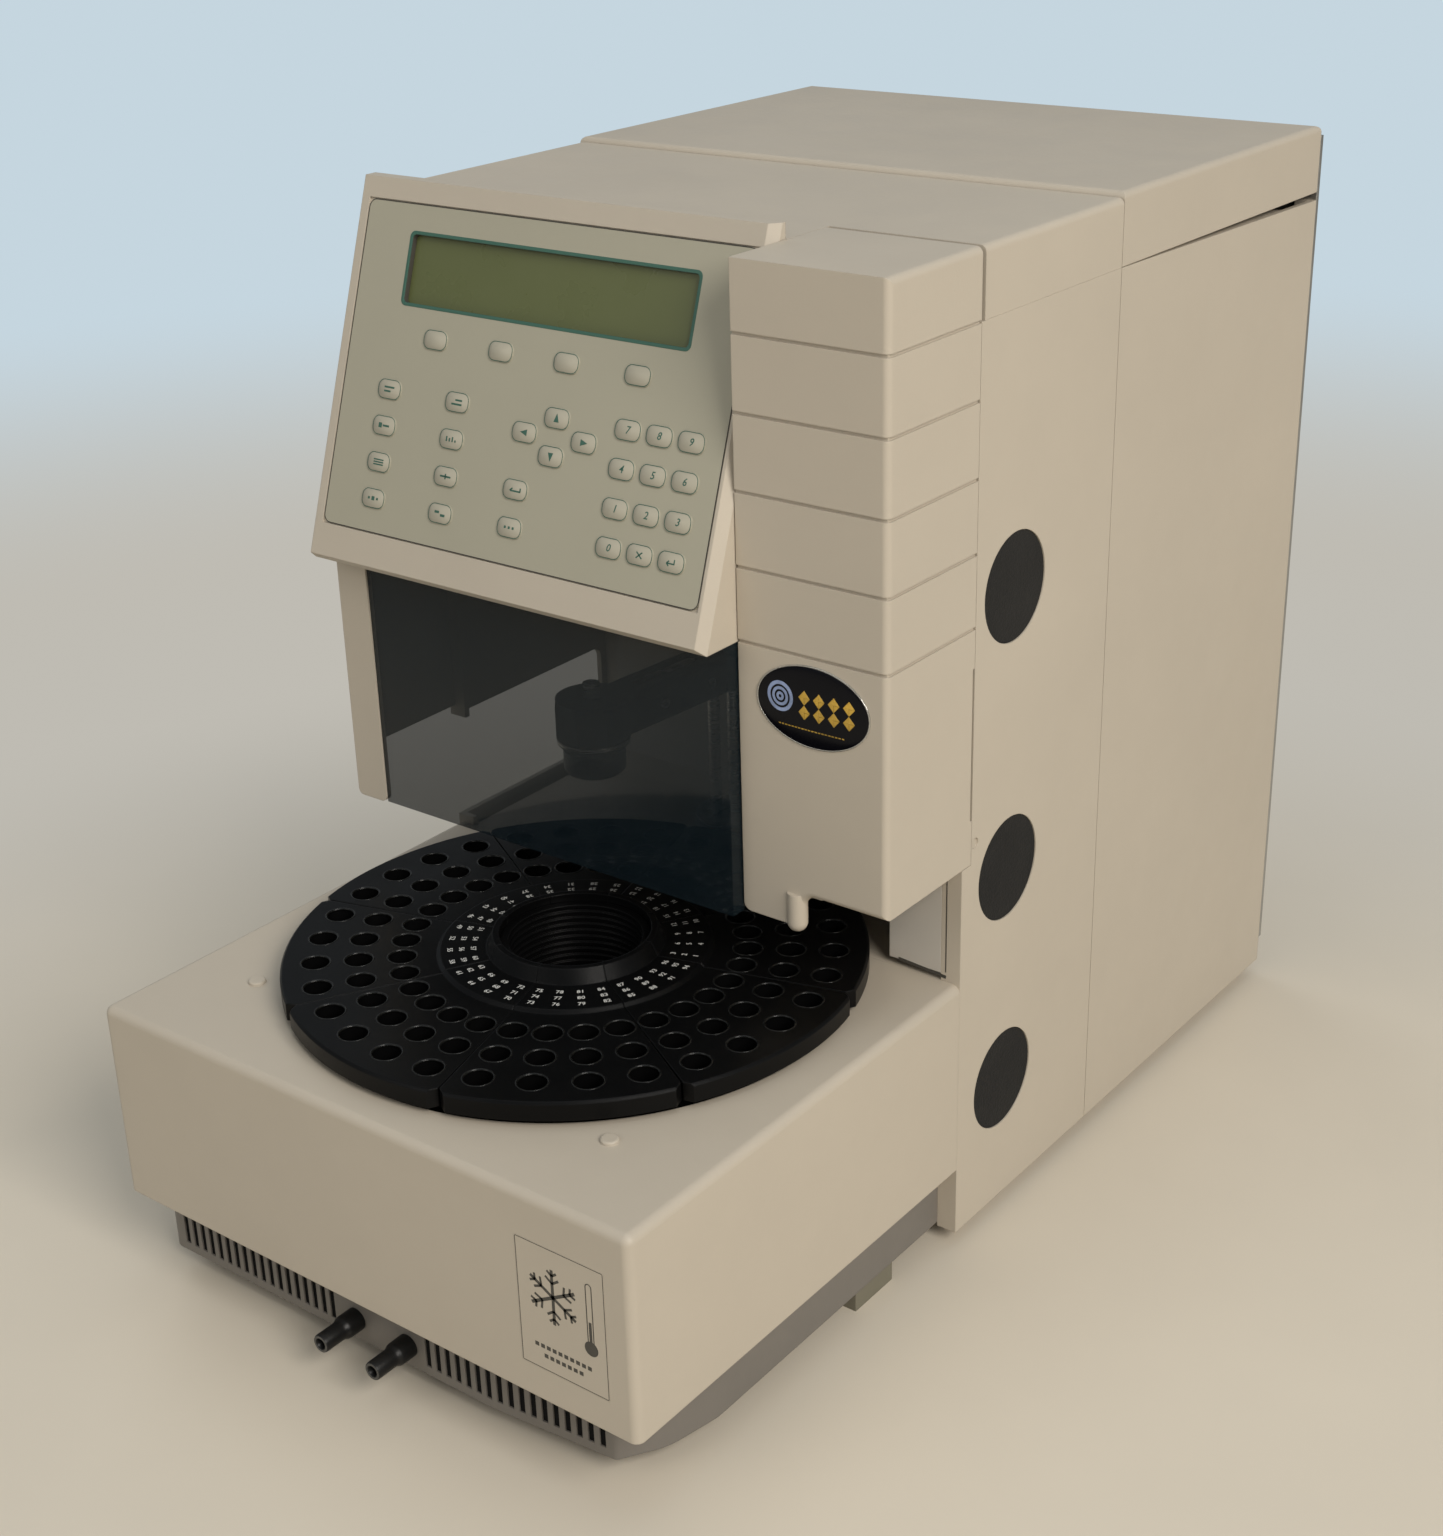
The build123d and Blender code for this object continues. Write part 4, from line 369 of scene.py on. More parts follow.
class Form:
    def __init__(self):
        self.mesh = bmesh.new()

    def skin(self, rings, wrapped=False):
        """Faces between rings of equal length. The ends are capped, or the last ring joins the first."""
        made = [[self.mesh.verts.new(p) for p in ring] for ring in rings]
        pairs = list(zip(made, made[1:]))
        if wrapped:
            pairs.append((made[-1], made[0]))
        for low, high in pairs:
            for i in range(len(low)):
                j = (i + 1) % len(low)
                self.mesh.faces.new((low[i], low[j], high[j], high[i]))
        if not wrapped:
            self.mesh.faces.new(list(reversed(made[0])))
            self.mesh.faces.new(made[-1])

    def slab(self, outline, place, low, high, bevel=0.0):
        """A plate between two heights. outline(inset) gives its points; bevel rounds the upper edge."""
        rings = [(outline(0.0), low), (outline(0.0), high - bevel)]
        if bevel:
            rings.append((outline(bevel * BEVEL_STEP), high - bevel * BEVEL_STEP))
            rings.append((outline(bevel), high))
        self.skin([[place(u, v, w) for u, v in points] for points, w in rings])

    def band(self, outer, inner, place, low, high):
        """A flat band between two outlines of equal length."""
        rings = [(outer, low), (outer, high), (inner, high), (inner, low)]
        self.skin([[place(u, v, w) for u, v in points] for points, w in rings], wrapped=True)

    def bar(self, start, end, width, place, low, high):
        """A thin straight stroke between two points of a surface."""
        du, dv = end[0] - start[0], end[1] - start[1]
        length = hypot(du, dv)
        side = (-dv / length * width / 2, du / length * width / 2)
        corners = [
            (start[0] + side[0], start[1] + side[1]),
            (start[0] - side[0], start[1] - side[1]),
            (end[0] - side[0], end[1] - side[1]),
            (end[0] + side[0], end[1] + side[1]),
        ]
        self.skin([[place(u, v, w) for u, v in corners] for w in (low, high)])

    def tube(self, path, radius, sides=12):
        """A round rod along a path of points in space."""
        rings = []
        for i, point in enumerate(path):
            before, after = path[max(i - 1, 0)], path[min(i + 1, len(path) - 1)]
            along = (after - before).normalized()
            across = along.orthogonal().normalized()
            if rings:
                across = (last - along * last.dot(along)).normalized()
            last = across
            other = along.cross(across)
            turns = [2 * pi * k / sides for k in range(sides)]
            rings.append([point + (across * cos(t) + other * sin(t)) * radius for t in turns])
        self.skin(rings)

    def turned(self, profile, centre, axis, sides=32, hollow=False):
        """A turned form: profile gives (radius, height) pairs along the axis, from one end to the other.

        A hollow one is a tube: its profile goes out along the bore and back along the outside."""
        along = Vector(axis).normalized()
        across = along.orthogonal().normalized()
        other = along.cross(across)
        turns = [2 * pi * k / sides for k in range(sides)]
        rings = []
        for radius, height in profile:
            middle = centre + along * height * MM
            rings.append([middle + (across * cos(t) + other * sin(t)) * radius * MM for t in turns])
        self.skin(rings, wrapped=hollow)

    def letters(self, text, size, place, low, high, slant=0.0):
        """Generic figures as thin solids, centred on the place's origin."""
        curve = bpy.data.curves.new("figures", "FONT")
        curve.body = text
        curve.size = size
        curve.shear = slant
        curve.align_x = "CENTER"
        curve.align_y = "CENTER"
        curve.resolution_u = FIGURE_RESOLUTION
        curve.extrude = FIGURE_HALF
        curve.offset = size * FIGURE_WEIGHT
        holder = bpy.data.objects.new("figures", curve)
        solid = bpy.data.meshes.new_from_object(holder)
        for vertex in solid.vertices:
            u, v, w = vertex.co
            vertex.co = place(u, v, low + (w + FIGURE_HALF) * (high - low))
        self.mesh.from_mesh(solid)
        bpy.data.meshes.remove(solid)
        bpy.data.objects.remove(holder)
        bpy.data.curves.remove(curve)

    def done(self, name, body, material, smooth=40.0):
        """Makes the piece and lets it ride on its body. Edges sharper than smooth, in degrees, stay sharp."""
        bmesh.ops.remove_doubles(self.mesh, verts=self.mesh.verts, dist=MERGE_DISTANCE)
        bmesh.ops.recalc_face_normals(self.mesh, faces=self.mesh.faces)
        limit = radians(smooth)
        for face in self.mesh.faces:
            face.smooth = True
        for edge in self.mesh.edges:
            edge.smooth = len(edge.link_faces) == 2 and edge.calc_face_angle(0.0) < limit
        mesh = bpy.data.meshes.new(name)
        self.mesh.to_mesh(mesh)
        self.mesh.free()
        mesh.materials.append(material)
        piece = bpy.data.objects.new(name, mesh)
        bpy.context.scene.collection.objects.link(piece)
        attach(piece, body)
        return piece


LEAST_CORNER = 0.02


def round_rectangle(width, height, corner, steps=5):
    def outline(inset=0.0):
        half_w, half_h = width / 2 - inset, height / 2 - inset
        radius = max(corner - inset, LEAST_CORNER)
        points = []
        for quarter, (sx, sy) in enumerate(((1, 1), (-1, 1), (-1, -1), (1, -1))):
            for k in range(steps + 1):
                turn = pi / 2 * (quarter + k / steps)
                points.append((sx * (half_w - radius) + radius * cos(turn),
                               sy * (half_h - radius) + radius * sin(turn)))
        return points
    return outline


def ellipse(half_u, half_v, steps=48):
    def outline(inset=0.0):
        turns = [2 * pi * k / steps for k in range(steps)]
        return [((half_u - inset) * cos(t), (half_v - inset) * sin(t)) for t in turns]
    return outline


def polygon(*points):
    return lambda inset=0.0: list(points)


def shifted(outline, du, dv):
    return lambda inset=0.0: [(u + du, v + dv) for u, v in outline(inset)]


def grown(size, margin, corner):
    """A round rectangle that is larger than a size by a margin on each side."""
    return round_rectangle(size[0] + 2 * margin, size[1] + 2 * margin, corner)


# Surfaces that thin pieces lie on: across, up and out from a place on the surface.

def face_place(x, down):
    return lambda u, v, w: on_face(x + u, down - v, w)


def front_place(x, z, d):
    return lambda u, v, w: at(x + u, d - w, z + v)


def back_place(x, z, d):
    return lambda u, v, w: at(x - u, d + w, z + v)


def top_place(x, d, z):
    return lambda u, v, w: at(x + u, d + v, z + w)


TRAY_DEPTH = 146.5


def tray_place(turn, radius, z):
    """A place on the tray, with up pointing to its centre and across along its rim."""
    c, s = cos(turn), sin(turn)
    return lambda u, v, w: at((radius - v) * c - u * s, TRAY_DEPTH + (radius - v) * s + u * c, z + w)


# Keypad: key faces, outlines and legends, the display's frame, painted shade in the display's recess, the
# overlay's edge.

MEMBRANE_X = (-145.0, 70.0)
MEMBRANE_DOWN = (9.7, 155.0)
MEMBRANE_OUT = -0.2
MEMBRANE_CORNER = 4.0
DISPLAY_OUT = -3.0
KEY_OUT = 0.3
SOFT_KEY = (13.8, 8.7)
SMALL_KEY = (13.8, 8.9)
KEY_CORNER = 3.6
SOFT_KEYS = ((0.241, 0.391), (0.419, 0.391), (0.591, 0.391), (0.77, 0.391))
FUNCTION_COLUMNS = (0.135, 0.325)
FUNCTION_ROWS = (0.56, 0.671, 0.783, 0.895)
ARROW_KEYS = ((0.59, 0.551, 90), (0.513, 0.608, 180), (0.666, 0.605, 0), (0.589, 0.662, 270))
COMMAND_KEYS = ((0.513, 0.777), (0.513, 0.889))
NUMBER_COLUMNS = (0.768, 0.845, 0.922)
NUMBER_ROWS = (0.546, 0.657, 0.77, 0.882)
NUMBER_LEGENDS = ("789", "456", "123", "0")
DISPLAY_X = (-116.3, 43.5)
DISPLAY_DOWN = (22.5, 52.7)

TEAL = surface("teal_ink", (0.045, 0.13, 0.095), 0.45, mottle=0.06, grain=1500.0, grain_depth=0.00001)
KEY_FACE = surface("key_face", (0.43, 0.40, 0.315), 0.45, mottle=0.015, grain=1500.0, grain_depth=0.00001)
# Dark print; it also serves as painted shade in the display's recess, on the rear screw crosses and in the
# plate's slot.
DARK_INK_AND_SHADE = surface("dark_ink_and_shade", (0.06, 0.055, 0.045), 0.5, mottle=0.1, grain=1200.0, grain_depth=0.00001)
WHITE_INK = surface("white_ink", (0.72, 0.71, 0.67), 0.5, mottle=0.05, grain=1500.0, grain_depth=0.00001)


def key_spot(across, down):
    x = MEMBRANE_X[0] + across * (MEMBRANE_X[1] - MEMBRANE_X[0])
    return face_place(x, MEMBRANE_DOWN[0] + down * (MEMBRANE_DOWN[1] - MEMBRANE_DOWN[0]))


def small_key_spots():
    spots = [(a, d) for a in FUNCTION_COLUMNS for d in FUNCTION_ROWS]
    spots += [key[:2] for key in ARROW_KEYS]
    spots += list(COMMAND_KEYS)
    spots += [(a, d) for a in NUMBER_COLUMNS for d in NUMBER_ROWS]
    return spots


# How far faces and print stand out of the key, and how deep they reach into it.
FACE_INSET = 0.45
FACE_RISE = 0.1
FACE_ROOT = 0.1
OUTLINE_INSET = 0.15
OUTLINE_WIDTH = 0.35
OUTLINE_RISE = 0.03
LEGEND_ROOT = 0.01
LEGEND_RISE = 0.03
LEGEND_LOW = KEY_OUT + FACE_RISE - LEGEND_ROOT
LEGEND_HIGH = KEY_OUT + FACE_RISE + LEGEND_RISE


def add_key_faces():
    faces = Form()
    rings = Form()
    keys = [(spot, SOFT_KEY) for spot in SOFT_KEYS] + [(spot, SMALL_KEY) for spot in small_key_spots()]
    for spot, size in keys:
        place = key_spot(*spot)
        inner = grown(size, -FACE_INSET, KEY_CORNER - FACE_INSET)
        faces.slab(inner, place, KEY_OUT - FACE_ROOT, KEY_OUT + FACE_RISE, bevel=FACE_RISE)
        outer = grown(size, -OUTLINE_INSET, KEY_CORNER - OUTLINE_INSET)
        rings.band(outer(), outer(OUTLINE_WIDTH), place, KEY_OUT - FACE_ROOT, KEY_OUT + OUTLINE_RISE)
    faces.done("key_faces", "chassis", KEY_FACE)
    rings.done("key_outlines", "chassis", TEAL)


# Strokes of the plain marks on the function keys: (start, end, width), in millimetres.
MARKS = (
    (((-3, 0.9), (3, 0.9), 0.8), ((-3, -0.9), (1, -0.9), 0.8)),
    (((-3.2, 0), (-1.2, 0), 2.2), ((-0.6, 0), (3.2, 0), 0.9)),
    (((-3, 1.1), (3, 1.1), 0.6), ((-3, 0), (3, 0), 0.6), ((-3, -1.1), (3, -1.1), 0.6)),
    (((-3.1, 0), (-2.0, 0), 1.1), ((-0.9, 0), (0.9, 0), 1.8), ((2.0, 0), (3.1, 0), 1.1)),
    (((-3, -0.9), (3, -0.9), 0.8), ((-1, 0.9), (3, 0.9), 0.8)),
    (((-2.6, -1.1), (-2.6, 1.1), 0.8), ((-0.9, -1.1), (-0.9, 0.5), 0.8), ((0.8, -1.1), (0.8, 1.1), 0.8),
     ((2.5, -1.1), (2.5, -0.1), 0.8)),
    (((-3.1, 0), (3.1, 0), 0.8), ((0, -1.2), (0, 1.2), 0.8)),
    (((-3.1, 0.6), (-0.4, 0.6), 1.1), ((0.4, -0.6), (3.1, -0.6), 1.1)),
    (((3.0, 1.0), (3.0, -0.6), 0.7), ((3.3, -0.6), (-2.4, -0.6), 0.7), ((-2.8, -0.6), (-1.4, 0.6), 0.7)),
    (((-2.8, 0), (-1.7, 0), 1.1), ((-0.55, 0), (0.55, 0), 1.1), ((1.7, 0), (2.8, 0), 1.1)),
)
CLEAR_MARK = (((-1.5, -1.3), (1.5, 1.3), 0.6), ((-1.5, 1.3), (1.5, -1.3), 0.6))
ENTER_MARK = (((1.8, 1.4), (1.8, -0.5), 0.6), ((2.1, -0.5), (-1.7, -0.5), 0.6),
              ((-2.1, -0.5), (-0.9, 0.6), 0.6), ((-2.1, -0.5), (-0.9, -1.6), 0.6))
FIGURE_SIZE = 4.6
FIGURE_SLANT = 0.22
ARROW = ((2.2, 0.0), (-1.6, 1.45), (-1.6, -1.45))


def add_strokes(form, spot, strokes):
    for start, end, width in strokes:
        form.bar(start, end, width, key_spot(*spot), LEGEND_LOW, LEGEND_HIGH)


def add_legends():
    legends = Form()
    spots = [(a, d) for a in FUNCTION_COLUMNS for d in FUNCTION_ROWS] + list(COMMAND_KEYS)
    for spot, strokes in zip(spots, MARKS):
        add_strokes(legends, spot, strokes)
    for across, down, turn in ARROW_KEYS:
        c, s = cos(radians(turn)), sin(radians(turn))
        tip = polygon(*[(u * c - v * s, u * s + v * c) for u, v in ARROW])
        legends.slab(tip, key_spot(across, down), LEGEND_LOW, LEGEND_HIGH)
    for row, figures in zip(NUMBER_ROWS, NUMBER_LEGENDS):
        for column, figure in zip(NUMBER_COLUMNS, figures):
            legends.letters(figure, FIGURE_SIZE, key_spot(column, row), LEGEND_LOW, LEGEND_HIGH, FIGURE_SLANT)
    add_strokes(legends, (NUMBER_COLUMNS[1], NUMBER_ROWS[3]), CLEAR_MARK)
    add_strokes(legends, (NUMBER_COLUMNS[2], NUMBER_ROWS[3]), ENTER_MARK)
    legends.done("key_legends", "chassis", TEAL)


def middle(span):
    return (span[0] + span[1]) / 2


def width_of(span):
    return span[1] - span[0]


FRAME_OUTSIDE = 1.2
FRAME_INSIDE = 0.3
FRAME_CORNER = 2.8
FRAME_INNER_CORNER = 1.9
FRAME_ROOT = 0.3
FRAME_RISE = 0.06
# Band of painted shade round the walls of the display's recess: its gap, wall width and corner.
RECESS_SHADE_GAP = 0.02
RECESS_SHADE_WALL = 0.35
RECESS_SHADE_CORNER = 0.3
EDGE_WIDTH = 0.45
EDGE_ROOT = 0.1
EDGE_RISE = 0.02


def add_keypad_trim():
    size = (width_of(DISPLAY_X), width_of(DISPLAY_DOWN))
    place = face_place(middle(DISPLAY_X), middle(DISPLAY_DOWN))
    frame_band = Form()
    outer = grown(size, FRAME_OUTSIDE, FRAME_CORNER)
    inner = grown(size, -FRAME_INSIDE, FRAME_INNER_CORNER)
    frame_band.band(outer(), inner(), place, MEMBRANE_OUT - FRAME_ROOT, MEMBRANE_OUT + FRAME_RISE)
    frame_band.done("display_frame", "chassis", TEAL)
    # Painted shade: a dark band lines the walls of the display's recess and stands in for the shade there.
    recess_shade = Form()
    outer = grown(size, -RECESS_SHADE_GAP, RECESS_SHADE_CORNER)
    inner = grown(size, -RECESS_SHADE_WALL, FRAME_INNER_CORNER)
    recess_shade.band(outer(), inner(), place, DISPLAY_OUT, MEMBRANE_OUT - FRAME_ROOT)
    recess_shade.done("display_recess_shade", "chassis", DARK_INK_AND_SHADE)
    edge = Form()
    rim = round_rectangle(width_of(MEMBRANE_X), width_of(MEMBRANE_DOWN), MEMBRANE_CORNER)
    place = face_place(middle(MEMBRANE_X), middle(MEMBRANE_DOWN))
    edge.band(rim(), rim(EDGE_WIDTH), place, MEMBRANE_OUT - EDGE_ROOT, MEMBRANE_OUT + EDGE_RISE)
    edge.done("overlay_edge", "chassis", DARK_INK_AND_SHADE)


add_key_faces()
add_legends()
add_keypad_trim()


# Column badge: a glossy domed oval with a bright rim and a plain pattern of its own.

BADGE_PLACE = (114.0, 282.5, 171.0)
BADGE_HALF = (28.0, 18.0)
BADGE_EDGE = 0.35
BADGE_RISE = 1.5
BADGE_FALL = 0.25
BADGE_ROOT = 0.05

BADGE_BLACK = surface("badge_black", (0.004, 0.004, 0.006), 0.16, mottle=0.2, grain_depth=0.0,
                      rough_change=0.02, Specular_IOR_Level=0.15)
BADGE_RIM = surface("badge_rim", (0.60, 0.59, 0.56), 0.25, mottle=0.05, grain_depth=0.0, Metallic=1.0)
BADGE_GOLD = surface("badge_gold", (0.62, 0.38, 0.05), 0.3, mottle=0.25, mottle_scale=60.0, grain_depth=0.0)
BADGE_BLUE = surface("badge_blue", (0.30, 0.38, 0.60), 0.3, mottle=0.3, mottle_scale=90.0, grain_depth=0.0)


def badge_height(u, v):
    share = min((u / BADGE_HALF[0]) ** 2 + (v / BADGE_HALF[1]) ** 2, 1.0)
    return BADGE_EDGE + BADGE_RISE * (1.0 - share) ** 0.5 * (1.0 - BADGE_FALL * share)


def badge_place():
    return front_place(*BADGE_PLACE)


def on_badge():
    """The badge's domed surface."""
    flat = badge_place()
    return lambda u, v, w: flat(u, v, badge_height(u, v) + w)


DOME_INSET = 0.5
DOME_SHARES = (1.0, 0.99, 0.965, 0.92, 0.85, 0.75, 0.6, 0.42, 0.22, 0.04)
# Widens the inset outline to the full oval, for which the height is worked out.
DOME_REACH = (1.018, 1.028)
RIM_WIDTH = 0.7
RIM_RISE = 0.45


def add_badge_body():
    place = badge_place()
    oval = ellipse(*BADGE_HALF, steps=64)
    dome = Form()
    rings = [[place(u, v, -BADGE_ROOT) for u, v in oval(DOME_INSET)]]
    for share in DOME_SHARES:
        points = [(u * share, v * share) for u, v in oval(DOME_INSET)]
        rings.append([place(u, v, badge_height(u * DOME_REACH[0], v * DOME_REACH[1])) for u, v in points])
    dome.skin(rings)
    dome.done("badge_dome", "column", BADGE_BLACK, smooth=70.0)
    rim = Form()
    rim.band(oval(0.0), oval(RIM_WIDTH), place, -BADGE_ROOT, RIM_RISE)
    rim.done("badge_rim", "column", BADGE_RIM)


DIAMOND_COLUMNS = (-3.2, 4.0, 11.2, 18.4)
DIAMOND_MIDDLE = 1.0
DIAMOND_SIZE = (5.6, 6.4)
DIAMOND_THICKNESS = 0.08
PRINT_THICKNESS = 0.06
DASH_COUNT = 20
DASH_START = -16.5
DASH_PITCH = 1.65
DASH_LENGTH = 1.1
DASH_WIDTH = 0.55
DASH_LEVEL = -9.6
RINGS_CENTRE = (-15.4, 2.4)
RINGS_RADIUS = 6.6
# Each ring of the badge: how far it lies inside the largest, and its width.
BADGE_RINGS = ((0.0, 1.6), (2.5, 1.3), (4.7, 1.2))


def add_diamond(form, u, v):
    """A diamond in four small facets that follow the dome."""
    half_u, half_v = DIAMOND_SIZE[0] / 2, DIAMOND_SIZE[1] / 2
    tips = ((half_u, 0.0), (0.0, half_v), (-half_u, 0.0), (0.0, -half_v))
    place = on_badge()
    for (au, av), (bu, bv) in zip(tips, tips[1:] + tips[:1]):
        offsets = ((0.0, 0.0), (au / 2, av / 2), (au, av), ((au + bu) / 2, (av + bv) / 2), (bu, bv),
                   (bu / 2, bv / 2))
        corners = [(u + du, v + dv) for du, dv in offsets]
        form.skin([[place(cu, cv, w) for cu, cv in corners] for w in (0.0, DIAMOND_THICKNESS)])


def add_badge_print():
    gold = Form()
    for u in DIAMOND_COLUMNS:
        for v in (DIAMOND_MIDDLE + DIAMOND_SIZE[1] / 2, DIAMOND_MIDDLE - DIAMOND_SIZE[1] / 2):
            add_diamond(gold, u, v)
    for k in range(DASH_COUNT):
        start = DASH_START + DASH_PITCH * k
        gold.bar((start, DASH_LEVEL), (start + DASH_LENGTH, DASH_LEVEL), DASH_WIDTH, on_badge(), 0.0,
                 PRINT_THICKNESS)
    gold.done("badge_diamonds", "column", BADGE_GOLD)
    blue = Form()
    ring = shifted(ellipse(RINGS_RADIUS, RINGS_RADIUS, 40), *RINGS_CENTRE)
    for inset, width in BADGE_RINGS:
        blue.band(ring(inset), ring(inset + width), on_badge(), 0.0, PRINT_THICKNESS)
    blue.done("badge_rings", "column", BADGE_BLUE)


add_badge_body()
add_badge_print()


# Framed label on the tray housing: a plain sign for cooling, with bars where words would be.

LABEL_X = (92.0, 136.4)
LABEL_Z = (58.2, 117.6)
LABEL_INK = (0.04, 0.08)
FILM_MARGIN = 0.4
FILM_CORNER = 0.8
FILM_HALF = 0.05
BORDER_WIDTH = 0.32
BORDER_CORNER = 0.7
FLAKE_CENTRE = (-4.0, 7.5)
FLAKE_ARMS = 6
FLAKE_ARM = 13.0
FLAKE_WIDTH = 1.5
# Twigs of the snowflake: their place along the arm, as a share, and their length.
FLAKE_TWIGS = ((0.5, 4.2), (0.78, 3.0))
TWIG_LEAN = pi / 3.4
TWIG_WIDTH = 1.1
STEM_CENTRE = (14.5, 7.0)
STEM_SIZE = (3.4, 30.0)
STEM_LINE = 0.5
BULB_CENTRE = (14.5, -8.5)
BULB_RADIUS = 3.4
BULB_RISE = 0.02
FILLED = ((14.5, -8.0), (14.5, 4.0))
FILLED_WIDTH = 1.4
# Rows of blocks where words would be: their level and half their length.
WORD_ROWS = ((-18.5, 15.0), (-22.8, 10.5))
WORD_PITCH = 3.0
WORD_LENGTH = 2.0
WORD_HEIGHT = 1.9


def add_snowflake(form, place):
    for k in range(FLAKE_ARMS):
        turn = pi / 6 + 2 * pi / FLAKE_ARMS * k
        c, s = cos(turn), sin(turn)
        tip = (FLAKE_CENTRE[0] + FLAKE_ARM * c, FLAKE_CENTRE[1] + FLAKE_ARM * s)
        form.bar(FLAKE_CENTRE, tip, FLAKE_WIDTH, place, *LABEL_INK)
        for share, length in FLAKE_TWIGS:
            root = (FLAKE_CENTRE[0] + FLAKE_ARM * share * c, FLAKE_CENTRE[1] + FLAKE_ARM * share * s)
            for lean in (TWIG_LEAN, -TWIG_LEAN):
                end = (root[0] + length * cos(turn + lean), root[1] + length * sin(turn + lean))
                form.bar(root, end, TWIG_WIDTH, place, *LABEL_INK)


def add_thermometer(form, place):
    stem = shifted(round_rectangle(*STEM_SIZE, STEM_SIZE[0] / 2), *STEM_CENTRE)
    form.band(stem(), stem(STEM_LINE), place, *LABEL_INK)
    bulb = shifted(ellipse(BULB_RADIUS, BULB_RADIUS, 24), *BULB_CENTRE)
    form.slab(bulb, place, LABEL_INK[0], LABEL_INK[1] + BULB_RISE)
    form.bar(*FILLED, FILLED_WIDTH, place, *LABEL_INK)


def add_label():
    place = front_place(middle(LABEL_X), middle(LABEL_Z), 0.0)
    size = (width_of(LABEL_X), width_of(LABEL_Z))
    film = Form()
    film.slab(grown(size, FILM_MARGIN, FILM_CORNER), place, -FILM_HALF, FILM_HALF)
    film.done("label_film", "chassis", M["beige_moulding"])
    ink = Form()
    border = round_rectangle(*size, BORDER_CORNER)
    ink.band(border(), border(BORDER_WIDTH), place, *LABEL_INK)
    add_snowflake(ink, place)
    add_thermometer(ink, place)
    for v, half in WORD_ROWS:
        for k in range(int(2 * half / WORD_PITCH)):
            start = -half + WORD_PITCH * k
            ink.bar((start, v), (start + WORD_LENGTH, v), WORD_HEIGHT, place, *LABEL_INK)
    ink.done("label_ink", "chassis", DARK_INK_AND_SHADE)


add_label()


# Tray: the plain position numbers of its holes.

SEGMENTS = 8
FIRST_SEAM = radians(15.0)
COLUMNS_PER_SEGMENT = 4
NUMBER_RINGS = (56.2, 51.0, 45.8)
NUMBER_SIZE = 3.5
PLATEAU_Z = 151.5
NUMBER_ROOT = 0.02
NUMBER_RISE = 0.05


def column_turns():
    """The directions in which the tray's columns of holes lie."""
    count = SEGMENTS * COLUMNS_PER_SEGMENT
    return [FIRST_SEAM + 2 * pi * (column + 0.5) / count for column in range(count)]


def add_tray_numbers():
    numbers = Form()
    for column, turn in enumerate(column_turns()):
        for row, radius in enumerate(NUMBER_RINGS):
            figure = str(1 + len(NUMBER_RINGS) * column + row)
            place = tray_place(turn, radius, PLATEAU_Z)
            numbers.letters(figure, NUMBER_SIZE, place, -NUMBER_ROOT, NUMBER_RISE)
    numbers.done("tray_numbers", "carousel", WHITE_INK)


add_tray_numbers()


# Tray: soft lips round the vial holes, which catch the light.

HOLE_RINGS = (77.2, 96.5, 115.5)
HOLE_LIP = ((6.12, -1.0), (6.12, -0.25), (6.3, 0.05), (6.62, 0.16), (6.98, 0.1), (7.15, -0.02), (6.5, -0.3))
TRAY_TOP = 150.0
LIP_BLACK = surface("lip_black", (0.006, 0.006, 0.0055), 0.22, mottle=0.2, grain=1400.0, wear=4.0,
                    Specular_IOR_Level=0.4)


def add_hole_lips():
    lips = Form()
    for turn in column_turns():
        for radius in HOLE_RINGS:
            centre = at(radius * cos(turn), TRAY_DEPTH + radius * sin(turn), TRAY_TOP)
            lips.turned(HOLE_LIP, centre, (0, 0, 1), sides=28, hollow=True)
    lips.done("hole_lips", "carousel", LIP_BLACK, smooth=60.0)


add_hole_lips()


# Hose nozzles: tapered black spouts with a worn ring at the mouth.

NOZZLE_X = (-18.5, 12.5)
NOZZLE_Z = 20.5
NOZZLE_ROOT = 12.0
NOZZLE_PROFILE = ((1.8, -8.0), (3.6, -8.0), (3.6, 0.0), (5.4, 0.0), (5.4, 7.4), (5.1, 8.6), (4.6, 9.4),
                  (4.35, 10.6), (4.3, 12.0), (4.3, 20.7), (4.0, 21.4), (2.7, 21.4), (2.4, 20.8), (1.8, 18.5))
MOUTH_PROFILE = ((2.85, 21.35), (2.85, 21.48), (3.8, 21.48), (4.1, 21.2), (3.9, 21.2))
WORN_BLACK = surface("worn_black", (0.07, 0.068, 0.062), 0.5, mottle=0.3, mottle_scale=300.0)


def add_nozzles():
    spouts = Form()
    mouths = Form()
    for x in NOZZLE_X:
        root = at(x, NOZZLE_ROOT, NOZZLE_Z)
        spouts.turned(NOZZLE_PROFILE, root, (0, -1, 0), sides=40, hollow=True)
        mouths.turned(MOUTH_PROFILE, root, (0, -1, 0), sides=40, hollow=True)
    made = spouts.done("hose_spouts", "chassis", M["connector_black"], smooth=50.0)
    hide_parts("hose_nozzles")
    mouths.done("spout_mouths", "chassis", WORN_BLACK)


add_nozzles()


# Base: painted shade behind the grille, a near-black sheet that bulges a little way into its slots so that
# they look shaded inside.

SHADE_SHEET_FRONT = 16.15
SHADE_SHEET_THICKNESS = 0.6
SHADE_SHEET_HEIGHTS = (13.1, 41.9)
